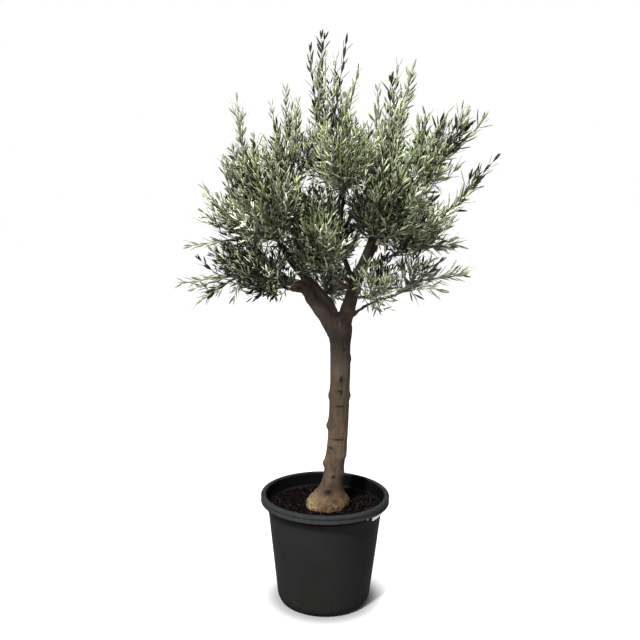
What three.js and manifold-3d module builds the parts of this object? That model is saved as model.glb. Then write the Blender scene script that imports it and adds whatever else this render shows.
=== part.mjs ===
// Potted olive tree: a clear-stemmed standard in a round nursery pot.
// Millimetres, +Z up, front towards -Y, origin at the centre of the pot's flat underside.
import * as THREE from 'three';
import { mergeVertices } from 'three/addons/utils/BufferGeometryUtils.js';
import Module from 'manifold-3d';

const wasm = await Module();
wasm.setup();

// ---------------------------------------------------------------- driving dimensions

const gap = 0.3; // clearance between pieces that touch

const pot = {
  height: 362,
  rimRadius: 210,
  lipWidth: 18, // of the rolled top edge
  bandHeight: 26, // of the rim's outer band
  wallTopRadius: 190, // outside of the wall, just under the band
  wallFootRadius: 156, // outside of the wall, above the rounded corner
  cornerHeight: 40,
  footRadius: 133,
  ledgeDrop: 33, // from the band down to the step in the wall
  ledgeDepth: 1.6,
  ledgeHeight: 2,
  bandEdge: 4, // height of the bevel on the band's lower edge
  bandBevel: 3, // its width
  cornerInset: 3, // of the rounded corner's point, from a square corner
  wall: 4,
  shoulder: 6, // below the band and the step, where the inside steps in
  sides: 36,
};

const soilTop = 318;

const label = { drop: 6, height: 17, thickness: 1, fromDeg: 52, toDeg: 74, segments: 6 };
// On a face of the wall, counted from the front.
const stud = { face: 4, drop: 8, radius: 3.5, headShare: 0.7, length: 3, sides: 10 };

const trunk = {
  // centre line from the soil to the fork: height and sideways lean
  line: [
    [soilTop + gap, 8], [383, 20], [460, 29], [540, 37],
    [648, 40], [755, 42], [858, 41], [920, 35], [952, 30],
  ],
  radius: 32.5,
  flare: 30, // added to the radius at the soil
  flareHeight: 50, // in which the flare falls to about a third
  forkSwell: 9,
  swellFrom: 100, // below the fork
  domeHeight: 35, // of the rounding at the fork, where the boughs stand round it
  domeShare: 0.9,
  sides: 14,
  steps: 28,
};

// Swellings on the trunk: height, angle from the front towards +X, rise and reach along it.
const knots = [
  { z: 335, deg: -48, rise: 15, reach: 24 },
  { z: 353, deg: -100, rise: 9, reach: 26 },
  { z: 333, deg: 25, rise: 8, reach: 22 },
  { z: 339, deg: 85, rise: 10, reach: 20 },
  { z: 337, deg: 160, rise: 9, reach: 26 },
  { z: 378, deg: 10, rise: -5, reach: 16 },
  { z: 434, deg: 68, rise: 6, reach: 13 },
  { z: 467, deg: -72, rise: 9, reach: 15 },
  { z: 493, deg: 62, rise: 5, reach: 12 },
  { z: 590, deg: -80, rise: 8, reach: 11 },
  { z: 690, deg: -78, rise: 6, reach: 12 },
  { z: 690, deg: 78, rise: 6, reach: 12 },
  { z: 747, deg: -3, rise: 4, reach: 14 },
  { z: 810, deg: 82, rise: 4, reach: 12 },
  { z: 625, deg: 190, rise: 7, reach: 13 },
  { z: 875, deg: -150, rise: 6, reach: 14 },
];

// Main boughs: each one tapering limb through a few points, thick end first.
const boughs = [
  {
    name: 'bough_left_outer',
    line: [
      [22, 0, 896], [-9, -8, 948], [-48, -14, 996],
      [-73, -20, 1034], [-108, -24, 1053], [-163, -30, 1065],
    ],
    radii: [26, 12],
  },
  {
    name: 'bough_left_upper',
    line: [
      [29, 10, 909], [3, 14, 980], [-36, 16, 1024], [-65, 18, 1061],
      [-85, 20, 1105], [-95, 20, 1159], [-98, 20, 1215],
    ],
    radii: [20, 9],
  },
  {
    name: 'bough_right',
    line: [
      [42, 0, 897], [63, 0, 970], [78, 2, 1024], [93, 4, 1075],
      [111, 6, 1119], [131, 8, 1173], [149, 10, 1232],
    ],
    radii: [26, 13],
  },
  {
    name: 'shoot_low_right',
    line: [[64, -8, 936], [107, -14, 976], [153, -20, 1000], [208, -28, 1021]],
    radii: [6, 4.5],
  },
];

// Masses of foliage. Each keeps to its body, an ellipsoid, and to a spindle from the middle of the body
// to each tip, which is given with the spindle's half-width. A mass grows on a limb at a fraction of
// its length: at 1 on the limb's own tip, and elsewhere on a branch that leads to it.
const masses = [
  {
    name: 'low_left', on: 'bough_left_outer', at: 1, centre: [-268, -20, 1122], radii: [105, 115, 68],
    tips: [[-476, -45, 1043, 40], [-427, -45, 975, 24], [-297, -60, 995, 28]],
  },
  {
    name: 'left', on: 'bough_left_outer', at: 0.72, centre: [-257, -10, 1245], radii: [105, 115, 130],
    tips: [[-447, -25, 1160, 40], [-436, -12, 1261, 34], [-402, -5, 1353, 32], [-343, 0, 1442, 30]],
  },
  {
    name: 'left_spike', on: 'bough_left_upper', at: 0.7, centre: [-262, 20, 1382], radii: [72, 100, 95],
    tips: [[-293, 20, 1628, 32], [-212, 10, 1514, 26]],
  },
  {
    name: 'low_front', on: 'bough_left_outer', at: 0.55, centre: [-195, -135, 1105], radii: [112, 105, 95],
    tips: [[-255, -245, 1096, 42], [-151, -130, 1013, 34]],
  },
  {
    name: 'front_left', on: 'bough_left_upper', at: 0.45,
    centre: [-171, -195, 1290], radii: [130, 125, 140],
    tips: [[-214, -300, 1438, 46], [-269, -295, 1297, 42]],
  },
  {
    name: 'back_left', on: 'bough_left_upper', at: 0.62, centre: [-205, 210, 1279], radii: [135, 130, 145],
    tips: [[-277, 310, 1455, 46], [-331, 290, 1254, 44]],
  },
  {
    name: 'top_left', on: 'bough_left_upper', at: 1, centre: [-142, 10, 1410], radii: [105, 105, 120],
    tips: [[-189, 25, 1612, 32], [-99, -8, 1621, 26], [-139, 5, 1658, 32]],
  },
  {
    name: 'top', on: 'bough_right', at: 0.42, centre: [-22, 5, 1454], radii: [98, 98, 116],
    tips: [[88, 15, 1715, 34], [44, 5, 1800, 34], [-35, 0, 1816, 34], [-70, 0, 1775, 30]],
  },
  {
    name: 'top_front', on: 'branch_top', at: 0.6, centre: [45, -150, 1435], radii: [95, 95, 105],
    tips: [[41, -185, 1593, 34], [-26, -205, 1549, 34]],
  },
  {
    name: 'top_back', on: 'branch_top', at: 0.75, centre: [48, 150, 1445], radii: [95, 105, 115],
    tips: [[27, 178, 1680, 36], [-63, 195, 1612, 36]],
  },
  {
    name: 'top_right', on: 'bough_right', at: 1, centre: [165, 20, 1440], radii: [92, 100, 110],
    tips: [[138, 8, 1662, 30], [250, 25, 1724, 28], [203, 15, 1734, 40]],
  },
  {
    name: 'right_up', on: 'bough_right', at: 0.84, centre: [290, 10, 1422], radii: [95, 95, 105],
    tips: [[292, 5, 1583, 38], [352, 0, 1587, 40], [422, 0, 1585, 40], [475, 0, 1565, 44]],
  },
  {
    name: 'right', on: 'bough_right', at: 0.62, centre: [262, 0, 1225], radii: [118, 115, 135],
    tips: [[411, -20, 1182, 46], [398, -10, 1307, 40], [515, -10, 1451, 54]],
  },
  {
    name: 'low_right', on: 'shoot_low_right', at: 1, centre: [258, -30, 1092], radii: [98, 88, 76],
    tips: [[279, -40, 1011, 32], [352, -45, 1038, 32], [431, -38, 1091, 40]],
  },
  {
    name: 'low_inner', on: 'bough_right', at: 0.27, centre: [160, -50, 1066], radii: [84, 80, 114],
    tips: [[155, -50, 969, 34]],
  },
  {
    name: 'front_right', on: 'bough_right', at: 0.58, centre: [167, -195, 1316], radii: [130, 120, 122],
    tips: [[218, -300, 1447, 46], [279, -290, 1305, 42]],
  },
  {
    name: 'front', on: 'bough_right', at: 0.35, centre: [-40, -180, 1205], radii: [110, 110, 125],
    tips: [[-45, -310, 1254, 44]],
  },
  {
    name: 'back', on: 'bough_right', at: 0.4, centre: [-7, 185, 1181], radii: [135, 120, 130],
    tips: [[-30, 310, 1254, 46]],
  },
  {
    name: 'back_right', on: 'bough_right', at: 0.66, centre: [173, 205, 1291], radii: [135, 130, 145],
    tips: [[235, 305, 1466, 46], [291, 285, 1263, 44]],
  },
  {
    name: 'heart', on: 'bough_left_upper', at: 0.88, centre: [-33, 0, 1264], radii: [130, 95, 92],
    tips: [],
  },
  {
    name: 'between', on: 'bough_left_upper', at: 0.3, centre: [18, 92, 1046], radii: [75, 60, 116],
    tips: [],
  },
];

const branchRadii = [9, 5.5]; // from the bough to the mass
const shortestBranch = 0.2; // of the way from its limb to the heart of the mass
const entryStep = 0.02; // of that way, in which the edge of the mass is looked for

// How growth keeps clear of the limbs: each limb is taken as straight stretches with some room round them.
const clearance = { trunkStretches: 16, limbStretches: 8, room: 1 };

// How a mass grows. Leaves are few and large: each stands for a small spray.
const growth = {
  firstSeed: 101,
  seedStep: 37,
  heartDrop: 0.3, // of the body's height, below its centre, where the stem ends
  stemBend: 0.4, // of its length, where a stem that goes on from a limb's tip starts to turn
  stemShrink: 0.55,
  shoots: 5, // of a mass, with the one that leads to each tip
  fewestSides: 3, // of them that stay in the body
  firstShoot: 0.12, // along the stem
  firstLeader: 0.6, // along the stem
  lowestAim: -0.5, // sine of the lowest side shoot's elevation seen from the heart
  turnSpread: 0.8, // of the side shoots, round the stem
  reach: [0.84, 0.97], // of the body's radii, to a side shoot's end
  leaderReach: 0.98, // of the way from the middle of the body to a tip
  shootRadii: [4.6, 3.2],
  leavesAtNode: 2,
  endLeafSunk: 3,
  endLeafShare: 0.6, // of a shoot's length, at most
  leafTwist: 0.8,
  leafRoom: 12, // between the midribs of two leaves, past the bare foot
  bareFoot: 0.25, // of a leaf's length
  margin: 0.02, // kept between two masses, as a share of the depth in them
  coarseness: 0.1, // to which fused faces are merged
};
// How the leaves stand on a shoot: where along it, at what angle, and the sizes that are tried.
const sideHabit = { nodes: [0.36, 0.72], angle: 0.66, sizes: [1.1, 0.8], out: 0.55, up: 0.25 };
const leaderHabit = { nodes: [0.3, 0.64], angle: 0.42, sizes: [0.8, 0.6, 0.45], out: 0.5, up: 0.4 };
const leaf = { length: 125, width: 44, thickness: 4, widest: 0.4, sunk: 1.6 };
const goldenAngle = Math.PI * (3 - Math.sqrt(5));

// ---------------------------------------------------------------- materials

const finish = (color, roughness) => new THREE.MeshStandardMaterial({ color, roughness, metalness: 0 });
const materials = {
  pot: finish(0x2b2d2f, 0.55),
  soil: finish(0x1d1512, 0.95),
  label: finish(0xa9aaa8, 0.6),
  bark: finish(0x6b5a4b, 0.9),
  foliage: finish(0x67745a, 0.7),
};

// ---------------------------------------------------------------- solids

function vector([x, y, z]) {
  return new THREE.Vector3(x, y, z);
}

// A closed geometry as a solid: doubled vertices merged, collapsed faces left out, faces outward.
function solidOf(geometry) {
  const bare = new THREE.BufferGeometry();
  bare.setAttribute('position', geometry.getAttribute('position').clone());
  if (geometry.index) bare.setIndex(geometry.index.clone());
  const merged = mergeVertices(bare, 1e-4);
  const point = merged.getAttribute('position');
  const corner = (i) => new THREE.Vector3().fromBufferAttribute(point, i);
  const triangles = [];
  let volume = 0;
  for (let i = 0; i < merged.index.count; i += 3) {
    const [a, b, c] = [0, 1, 2].map((k) => merged.index.getX(i + k));
    if (a === b || b === c || c === a) continue;
    triangles.push([a, b, c]);
    volume += corner(a).dot(corner(b).cross(corner(c)));
  }
  if (volume < 0) triangles.forEach((triangle) => triangle.reverse());
  return new wasm.Manifold(new wasm.Mesh({
    numProp: 3,
    vertProperties: new Float32Array(point.array),
    triVerts: new Uint32Array(triangles.flat()),
  }));
}

// The largest body of a solid: scraps are dropped, and so are the skins of sealed hollows.
function mainBody(solid) {
  const bodies = solid.decompose();
  return bodies.reduce((best, body) => (body.volume() > best.volume() ? body : best));
}

function meshOf(name, solid, material) {
  const { vertProperties, triVerts } = solid.getMesh();
  const geometry = new THREE.BufferGeometry();
  geometry.setAttribute('position', new THREE.BufferAttribute(new Float32Array(vertProperties), 3));
  geometry.setIndex(new THREE.BufferAttribute(new Uint32Array(triVerts), 1));
  geometry.computeVertexNormals();
  const mesh = new THREE.Mesh(geometry, material);
  mesh.name = name;
  return mesh;
}

// A unit vector square to a direction, turned about it by an angle.
function squareTo(direction, angle) {
  const steep = Math.abs(direction.z) > 0.95;
  const level = steep ? new THREE.Vector3(1, 0, 0) : new THREE.Vector3(0, 0, 1);
  const side = new THREE.Vector3().crossVectors(direction, level).normalize();
  return side.applyAxisAngle(direction, angle);
}

// Where a curve is at t, and the directions along it and across it.
function frameAt(curve, t, reference) {
  const centre = curve.getPoint(t);
  const along = curve.getTangent(t);
  const normal = reference.clone().addScaledVector(along, -reference.dot(along)).normalize();
  return { centre, along, normal, side: new THREE.Vector3().crossVectors(along, normal) };
}

// The direction across a frame at an angle from its normal.
function outward({ normal, side }, angle) {
  return normal.clone().multiplyScalar(Math.cos(angle)).addScaledVector(side, Math.sin(angle));
}

// A closed tube along a stretch of a curve, with flat ends. radiusAt takes the fraction along the
// curve and the angle round it from the reference direction.
function tube(curve, { from = 0, to = 1, radiusAt, sides, steps, reference, level = false }) {
  const positions = [];
  const indices = [];
  for (let i = 0; i <= steps; i++) {
    const t = from + ((to - from) * i) / steps;
    const frame = frameAt(curve, t, reference);
    if (level) Object.assign(frame, { normal: reference, side: new THREE.Vector3(1, 0, 0) });
    for (let k = 0; k < sides; k++) {
      const angle = (2 * Math.PI * k) / sides;
      const rim = frame.centre.clone().addScaledVector(outward(frame, angle), radiusAt(t, angle));
      positions.push(rim.x, rim.y, rim.z);
    }
  }
  for (let i = 0; i < steps; i++) {
    for (let k = 0; k < sides; k++) {
      const [a, b] = [i * sides + k, i * sides + ((k + 1) % sides)];
      indices.push(a, b, b + sides, a, b + sides, a + sides);
    }
  }
  const last = steps * sides;
  for (let k = 1; k < sides - 1; k++) {
    indices.push(0, k + 1, k, last, last + k, last + k + 1);
  }
  const geometry = new THREE.BufferGeometry();
  geometry.setAttribute('position', new THREE.Float32BufferAttribute(positions, 3));
  geometry.setIndex(indices);
  return geometry;
}

// ---------------------------------------------------------------- pot, soil and label

// A solid of revolution from [radius, height] pairs that start and end on the axis.
function turned(profile) {
  const points = profile.map(([radius, height]) => new THREE.Vector2(radius, height));
  return new THREE.LatheGeometry(points, pot.sides).rotateX(Math.PI / 2);
}

function wallRadius(z) {
  const bandFoot = pot.height - pot.bandHeight;
  const share = (z - pot.cornerHeight) / (bandFoot - pot.cornerHeight);
  const step = z < bandFoot - pot.ledgeDrop ? pot.ledgeDepth : 0;
  return THREE.MathUtils.lerp(pot.wallFootRadius, pot.wallTopRadius, share) - step;
}

// Points of a quarter round from one [radius, height] to another, bulging towards a corner.
function quarter([r0, z0], [rCorner, zCorner], [r1, z1], count) {
  const bend = new THREE.QuadraticBezierCurve(
    new THREE.Vector2(r0, z0), new THREE.Vector2(rCorner, zCorner), new THREE.Vector2(r1, z1));
  return bend.getPoints(count).map((point) => [point.x, point.y]);
}

function potSolid() {
  const bandFoot = pot.height - pot.bandHeight;
  const ledge = bandFoot - pot.ledgeDrop;
  const shoulder = ledge - pot.shoulder;
  const corner = [wallRadius(pot.cornerHeight), pot.cornerHeight];
  const lip = pot.lipWidth / 3;
  const [outerLip, innerLip] = [pot.rimRadius - lip, pot.rimRadius - pot.lipWidth];
  return solidOf(turned([
    [0, 0],
    ...quarter([pot.footRadius, 0], [pot.wallFootRadius - pot.cornerInset, pot.cornerInset], corner, 3),
    [wallRadius(ledge - pot.ledgeHeight), ledge - pot.ledgeHeight],
    [wallRadius(ledge), ledge],
    [wallRadius(bandFoot), bandFoot + pot.ledgeHeight],
    [pot.rimRadius - pot.bandBevel, bandFoot],
    [pot.rimRadius, bandFoot + pot.bandEdge],
    ...quarter([pot.rimRadius, pot.height - lip], [pot.rimRadius, pot.height], [outerLip, pot.height], 2),
    ...quarter([innerLip + lip, pot.height], [innerLip, pot.height], [innerLip, pot.height - lip], 2),
    [wallRadius(bandFoot) - pot.wall, bandFoot - pot.shoulder],
    [wallRadius(shoulder) - pot.wall, shoulder],
    [corner[0] - pot.wall, pot.cornerHeight],
    [pot.footRadius, pot.wall],
    [0, pot.wall],
  ]));
}

function soilSolid() {
  const shoulder = pot.height - pot.bandHeight - pot.ledgeDrop - pot.shoulder;
  const inset = pot.wall + gap;
  return solidOf(turned([
    [0, inset],
    [pot.footRadius - gap, inset],
    [wallRadius(pot.cornerHeight) - inset, pot.cornerHeight],
    [wallRadius(shoulder) - inset, shoulder],
    [wallRadius(shoulder) - inset, soilTop],
    [0, soilTop],
  ]));
}

// A plain curved plate on the wall, under the band.
function labelSolid() {
  const top = pot.height - pot.bandHeight - label.drop;
  const inner = wallRadius(top) + gap;
  const [start, end] = [label.fromDeg, label.toDeg].map((deg) => THREE.MathUtils.degToRad(deg - 90));
  const outline = new THREE.Shape();
  outline.absarc(0, 0, inner, start, end, false);
  outline.absarc(0, 0, inner + label.thickness, end, start, true);
  const plate = new THREE.ExtrudeGeometry(outline, {
    depth: label.height, bevelEnabled: false, curveSegments: label.segments,
  });
  return solidOf(plate.translate(0, 0, top - label.height));
}

function studSolid() {
  const z = pot.height - pot.bandHeight - stud.drop;
  const halfFace = Math.PI / pot.sides;
  const button = new THREE.CylinderGeometry(
    stud.radius * stud.headShare, stud.radius, stud.length, stud.sides);
  button.translate(0, wallRadius(z + stud.radius) * Math.cos(halfFace) + gap + stud.length / 2, 0);
  button.rotateZ((2 * stud.face + 1) * halfFace - Math.PI);
  return solidOf(button.translate(0, 0, z));
}

// ---------------------------------------------------------------- trunk and boughs

const trunkCurve = new THREE.CatmullRomCurve3(
  trunk.line.map(([z, x]) => new THREE.Vector3(x, 0, z)), false, 'catmullrom', 0.5);

function trunkRadius(t, angle) {
  const { z } = trunkCurve.getPoint(t);
  const foot = trunk.line[0][0];
  const top = trunk.line.at(-1)[0];
  let radius = trunk.radius + trunk.flare * Math.exp(-(((z - foot) / trunk.flareHeight) ** 2));
  const domeFoot = top - trunk.domeHeight;
  radius += trunk.forkSwell * THREE.MathUtils.smoothstep(z, top - trunk.swellFrom, domeFoot);
  for (const knot of knots) {
    const turn = angle - THREE.MathUtils.degToRad(knot.deg);
    const across = 2 * trunk.radius * Math.sin(turn / 2);
    const reach = knot.reach ** 2;
    radius += knot.rise * Math.exp(-((z - knot.z) ** 2 + across ** 2) / reach);
  }
  const dome = THREE.MathUtils.clamp((z - domeFoot) / trunk.domeHeight, 0, 1);
  return radius * Math.sqrt(1 - trunk.domeShare * dome ** 2);
}

// Every limb: its curve, the stretch of it that is wood, and its radii at the two ends.
const limbs = {};

function addLimb(name, curve, { from = 0, to = 1, radii, sides, steps, owner = null }) {
  const [thick, thin] = radii;
  const radiusAt = (t) => THREE.MathUtils.lerp(thick, thin, (t - from) / (to - from));
  const chord = curve.getPoint(1).sub(curve.getPoint(0)).normalize();
  limbs[name] = { name, curve, from, to, radiusAt, sides, steps, owner, reference: squareTo(chord, 0) };
  return limbs[name];
}

function limbSolid(limb, extra = 0) {
  const grown = (t, angle) => limb.radiusAt(t, angle) + extra;
  return solidOf(tube(limb.curve, { ...limb, radiusAt: grown }));
}

limbs.trunk = {
  name: 'trunk', curve: trunkCurve, from: 0, to: 1, radiusAt: trunkRadius,
  sides: trunk.sides, steps: trunk.steps, owner: null, reference: new THREE.Vector3(0, -1, 0), level: true,
};
for (const { name, line, radii } of boughs) {
  const curve = new THREE.CatmullRomCurve3(line.map(vector), false, 'catmullrom', 0.5);
  addLimb(name, curve, { radii, sides: radii[0] > 10 ? 8 : 6, steps: 2 * line.length - 2 });
}

// ---------------------------------------------------------------- the space of each mass

// Rising growth: out first, then up.
function risingCurve(start, end, { out, up }) {
  const bend = start.clone().lerp(end, out);
  bend.z = THREE.MathUtils.lerp(start.z, end.z, up);
  return new THREE.QuadraticBezierCurve3(start, bend, end);
}

// 0 in the middle of a mass's body, or of one of its spindles, and 1 on its skin.
function depth(mass, point) {
  const inBody = point.clone().sub(mass.middle).divide(mass.size).length();
  return mass.spindles.reduce((least, { middle, axis, halfLength, halfWidth }) => {
    const offset = point.clone().sub(middle);
    const along = offset.dot(axis);
    const off = offset.addScaledVector(axis, -along).length();
    return Math.min(least, Math.hypot(along / halfLength, off / halfWidth));
  }, inBody);
}

// Whether a point lies in a mass's own share of the crown.
function owns(mass, point) {
  const own = depth(mass, point);
  return own < 1 && masses.every((other) => other === mass || depth(other, point) > own + growth.margin);
}

// The shortest distance between two straight stretches.
function stretchDistance(a, b, c, d) {
  const [u, v, w] = [b.clone().sub(a), d.clone().sub(c), a.clone().sub(c)];
  const [uu, uv, vv, uw, vw] = [u.dot(u), u.dot(v), v.dot(v), u.dot(w), v.dot(w)];
  const spread = uu * vv - uv * uv;
  const clamp = THREE.MathUtils.clamp;
  let s = spread > 1e-9 ? clamp((uv * vw - vv * uw) / spread, 0, 1) : 0;
  const t = clamp((uv * s + vw) / vv, 0, 1);
  s = clamp((uv * t - uw) / uu, 0, 1);
  return w.addScaledVector(u, s).addScaledVector(v, -t).length();
}

// Straight stretches of every limb, with the thickest radius of each, for keeping clear of them.
function limbStretches() {
  const stretches = [];
  for (const { curve, from, to, radiusAt, owner, name } of Object.values(limbs)) {
    const count = name === 'trunk' ? clearance.trunkStretches : clearance.limbStretches;
    for (let i = 0; i < count; i++) {
      const [t0, t1] = [i, i + 1].map((k) => from + ((to - from) * k) / count);
      stretches.push({
        start: curve.getPoint(t0), end: curve.getPoint(t1), owner,
        radius: Math.max(radiusAt(t0, 0), radiusAt(t1, 0)) + clearance.room,
      });
    }
  }
  return stretches;
}

// Whether a straight piece of growth keeps to its mass's space and clear of all limbs but its own stem.
function fits(mass, stretches, start, end, halfWidth) {
  for (const share of [0.25, 0.5, 0.75, 1]) {
    if (!owns(mass, start.clone().lerp(end, share))) return false;
  }
  return stretches.every((stretch) => stretch.owner === mass.name
    || stretchDistance(start, end, stretch.start, stretch.end) > stretch.radius + halfWidth);
}

// ---------------------------------------------------------------- growth of a mass

// Lehmer's generator: the same draws on any machine.
function seeded(seed) {
  let state = seed;
  return () => {
    state = (state * 16807) % 2147483647;
    return state / 2147483647;
  };
}

// A leaf: a ridged blade from a point that is sunk in its twig to a point at its tip.
function leafSolid(root, direction, across, scale) {
  const normal = new THREE.Vector3().crossVectors(direction, across);
  const foot = root.clone().addScaledVector(direction, -leaf.sunk);
  const middle = root.clone().addScaledVector(direction, leaf.widest * leaf.length * scale);
  const corners = [
    foot,
    middle.clone().addScaledVector(across, (leaf.width / 2) * scale),
    middle.clone().addScaledVector(normal, leaf.thickness),
    middle.clone().addScaledVector(across, (-leaf.width / 2) * scale),
    root.clone().addScaledVector(direction, leaf.length * scale),
  ];
  const geometry = new THREE.BufferGeometry();
  const positions = corners.flatMap((point) => point.toArray());
  geometry.setAttribute('position', new THREE.Float32BufferAttribute(positions, 3));
  geometry.setIndex([0, 1, 2, 0, 2, 3, 0, 3, 1, 4, 2, 1, 4, 3, 2, 4, 1, 3]);
  return solidOf(geometry);
}

// All that grows from one stem, fused into one body.
function growMass(mass, stretches) {
  const random = seeded(mass.seed);
  const solids = [limbSolid(mass.stem)];

  const { curve: stemCurve, from: foot, to: head } = mass.stem;
  const joints = [foot, (foot + head) / 2, head].map((t) => stemCurve.getPoint(t));
  const grown = [[joints[0], joints[1]], [joints[1], joints[2]]];

  const addLeaf = (root, direction, across, sizes) => {
    for (const scale of sizes) {
      const start = root.clone().addScaledVector(direction, leaf.length * growth.bareFoot * scale);
      const end = root.clone().addScaledVector(direction, leaf.length * scale);
      if (!fits(mass, stretches, root, end, (leaf.width / 2) * scale)) continue;
      if (grown.some((other) => stretchDistance(start, end, ...other) < growth.leafRoom)) continue;
      grown.push([start, end]);
      solids.push(leafSolid(root, direction, across, scale));
      return;
    }
  };

  // A leafy shoot to a target: a three-sided twig with leaves out of its faces and one at its end,
  // which reaches the target.
  const addShoot = (start, target, { nodes, angle, sizes, ...rise }) => {
    const endLeaf = (leaf.length * sizes[0] - growth.endLeafSunk) / target.distanceTo(start);
    const end = target.clone().lerp(start, Math.min(endLeaf, growth.endLeafShare));
    const curve = risingCurve(start, end, rise);
    const middle = curve.getPoint(0.5);
    const [thick, thin] = growth.shootRadii;
    const turn = random() * 2 * Math.PI;
    const twists = nodes.map(() => (2 * random() - 1) * growth.leafTwist);
    if (!fits(mass, stretches, start, middle, thick) || !fits(mass, stretches, middle, end, thick)) return;
    const reference = squareTo(end.clone().sub(start).normalize(), turn);
    const radiusAt = (t) => THREE.MathUtils.lerp(thick, thin, t);
    solids.push(solidOf(tube(curve, { radiusAt, sides: 3, steps: 2, reference })));
    nodes.forEach((t, node) => {
      const frame = frameAt(curve, t, reference);
      for (let k = 0; k < growth.leavesAtNode; k++) {
        const out = outward(frame, (Math.PI / 3) * (1 + 2 * (node + k)));
        const direction = frame.along.clone().multiplyScalar(Math.cos(angle));
        direction.addScaledVector(out, Math.sin(angle)).normalize();
        const across = new THREE.Vector3().crossVectors(frame.along, direction).normalize();
        addLeaf(frame.centre, direction, across.applyAxisAngle(direction, twists[node]), sizes);
      }
    });
    const { centre, along } = frameAt(curve, 1, reference);
    centre.addScaledVector(along, -growth.endLeafSunk);
    addLeaf(centre, along, squareTo(along, turn + twists[0]), sizes);
    grown.push([start, middle], [middle, end]);
  };

  // A point along the stem, at a share of the way from one fraction of it to its end.
  const onStem = (first, share) => stemCurve.getPoint(
    THREE.MathUtils.lerp(foot, head, THREE.MathUtils.lerp(first, 1, share)));

  const leaders = mass.spindles.length;
  mass.spindles.forEach(({ tip }, k) => {
    const target = mass.middle.clone().lerp(tip, growth.leaderReach);
    addShoot(onStem(growth.firstLeader, (k + 0.5) / leaders), target, leaderHabit);
  });
  const sides = Math.max(growth.shoots - leaders, growth.fewestSides);
  for (let k = 0; k < sides; k++) {
    const share = (k + 0.5) / sides;
    const rise = THREE.MathUtils.lerp(growth.lowestAim, 1, share);
    const azimuth = k * goldenAngle + mass.seed + random() * growth.turnSpread;
    const level = Math.sqrt(1 - rise * rise);
    const aim = new THREE.Vector3(level * Math.cos(azimuth), level * Math.sin(azimuth), rise);
    aim.multiply(mass.size).multiplyScalar(THREE.MathUtils.lerp(...growth.reach, random()));
    addShoot(onStem(growth.firstShoot, share), aim.add(mass.middle), sideHabit);
  }
  return mainBody(wasm.Manifold.union(solids)).simplify(growth.coarseness);
}

// ---------------------------------------------------------------- laying out the crown

// A branch runs from its limb towards the heart of its mass and ends where it enters the mass's
// space. The mass's stem goes on from there, or from the limb's own tip.
function layOut(mass, order) {
  const limb = limbs[mass.on];
  mass.seed = growth.firstSeed + growth.seedStep * order;
  const heart = mass.middle.clone();
  heart.z -= growth.heartDrop * mass.size.z;
  if (mass.at === 1) {
    const tip = limb.curve.getPoint(limb.to);
    const ahead = limb.curve.getTangent(limb.to);
    const root = tip.clone().addScaledVector(ahead, gap);
    const bend = root.clone().addScaledVector(ahead, growth.stemBend * root.distanceTo(heart));
    const radius = limb.radiusAt(limb.to);
    const onward = new THREE.QuadraticBezierCurve3(root, bend, heart);
    mass.stem = addLimb(`stem_${mass.name}`, onward, {
      radii: [radius, radius * growth.stemShrink], sides: 6, steps: 3, owner: mass.name,
    });
    return;
  }
  const start = limb.curve.getPoint(THREE.MathUtils.lerp(limb.from, limb.to, mass.at));
  const curve = risingCurve(start, heart, sideHabit);
  let entry = 1;
  while (entry > shortestBranch && owns(mass, curve.getPoint(entry - entryStep))) entry -= entryStep;
  addLimb(`branch_${mass.name}`, curve, { to: entry, radii: branchRadii, sides: 5, steps: 4 });
  mass.stem = addLimb(`stem_${mass.name}`, curve, {
    from: entry + gap / curve.getLength(), radii: [branchRadii[1], branchRadii[1] * growth.stemShrink],
    sides: 5, steps: 3, owner: mass.name,
  });
}

for (const mass of masses) {
  mass.middle = vector(mass.centre);
  mass.size = vector(mass.radii);
  mass.spindles = mass.tips.map(([x, y, z, halfWidth]) => {
    const tip = new THREE.Vector3(x, y, z);
    const axis = tip.clone().sub(mass.middle).normalize();
    const halfLength = tip.distanceTo(mass.middle) / 2;
    return { tip, axis, halfLength, halfWidth, middle: mass.middle.clone().lerp(tip, 0.5) };
  });
}
masses.forEach(layOut);

// ---------------------------------------------------------------- assembly

const tree = new THREE.Group();
tree.add(meshOf('pot', potSolid(), materials.pot));
tree.add(meshOf('soil', soilSolid(), materials.soil));
tree.add(meshOf('label', labelSolid(), materials.label));
tree.add(meshOf('stud', studSolid(), materials.label));
tree.add(meshOf('trunk', limbSolid(limbs.trunk), materials.bark));

// Wood is cut clear of what it grows from, which was built before it.
const wood = [limbSolid(limbs.trunk, gap)];
for (const limb of Object.values(limbs)) {
  if (limb.name === 'trunk' || limb.owner) continue;
  const solid = wood.reduce((rest, earlier) => rest.subtract(earlier), limbSolid(limb));
  tree.add(meshOf(limb.name, mainBody(solid), materials.bark));
  wood.push(limbSolid(limb, gap));
}

const stretches = limbStretches();
for (const mass of masses) {
  tree.add(meshOf(`foliage_${mass.name}`, growMass(mass, stretches), materials.foliage));
}

export default tree;
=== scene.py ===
import math

import bmesh
import bpy
import numpy as np
from mathutils import Matrix, Quaternion, Vector, noise


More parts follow.
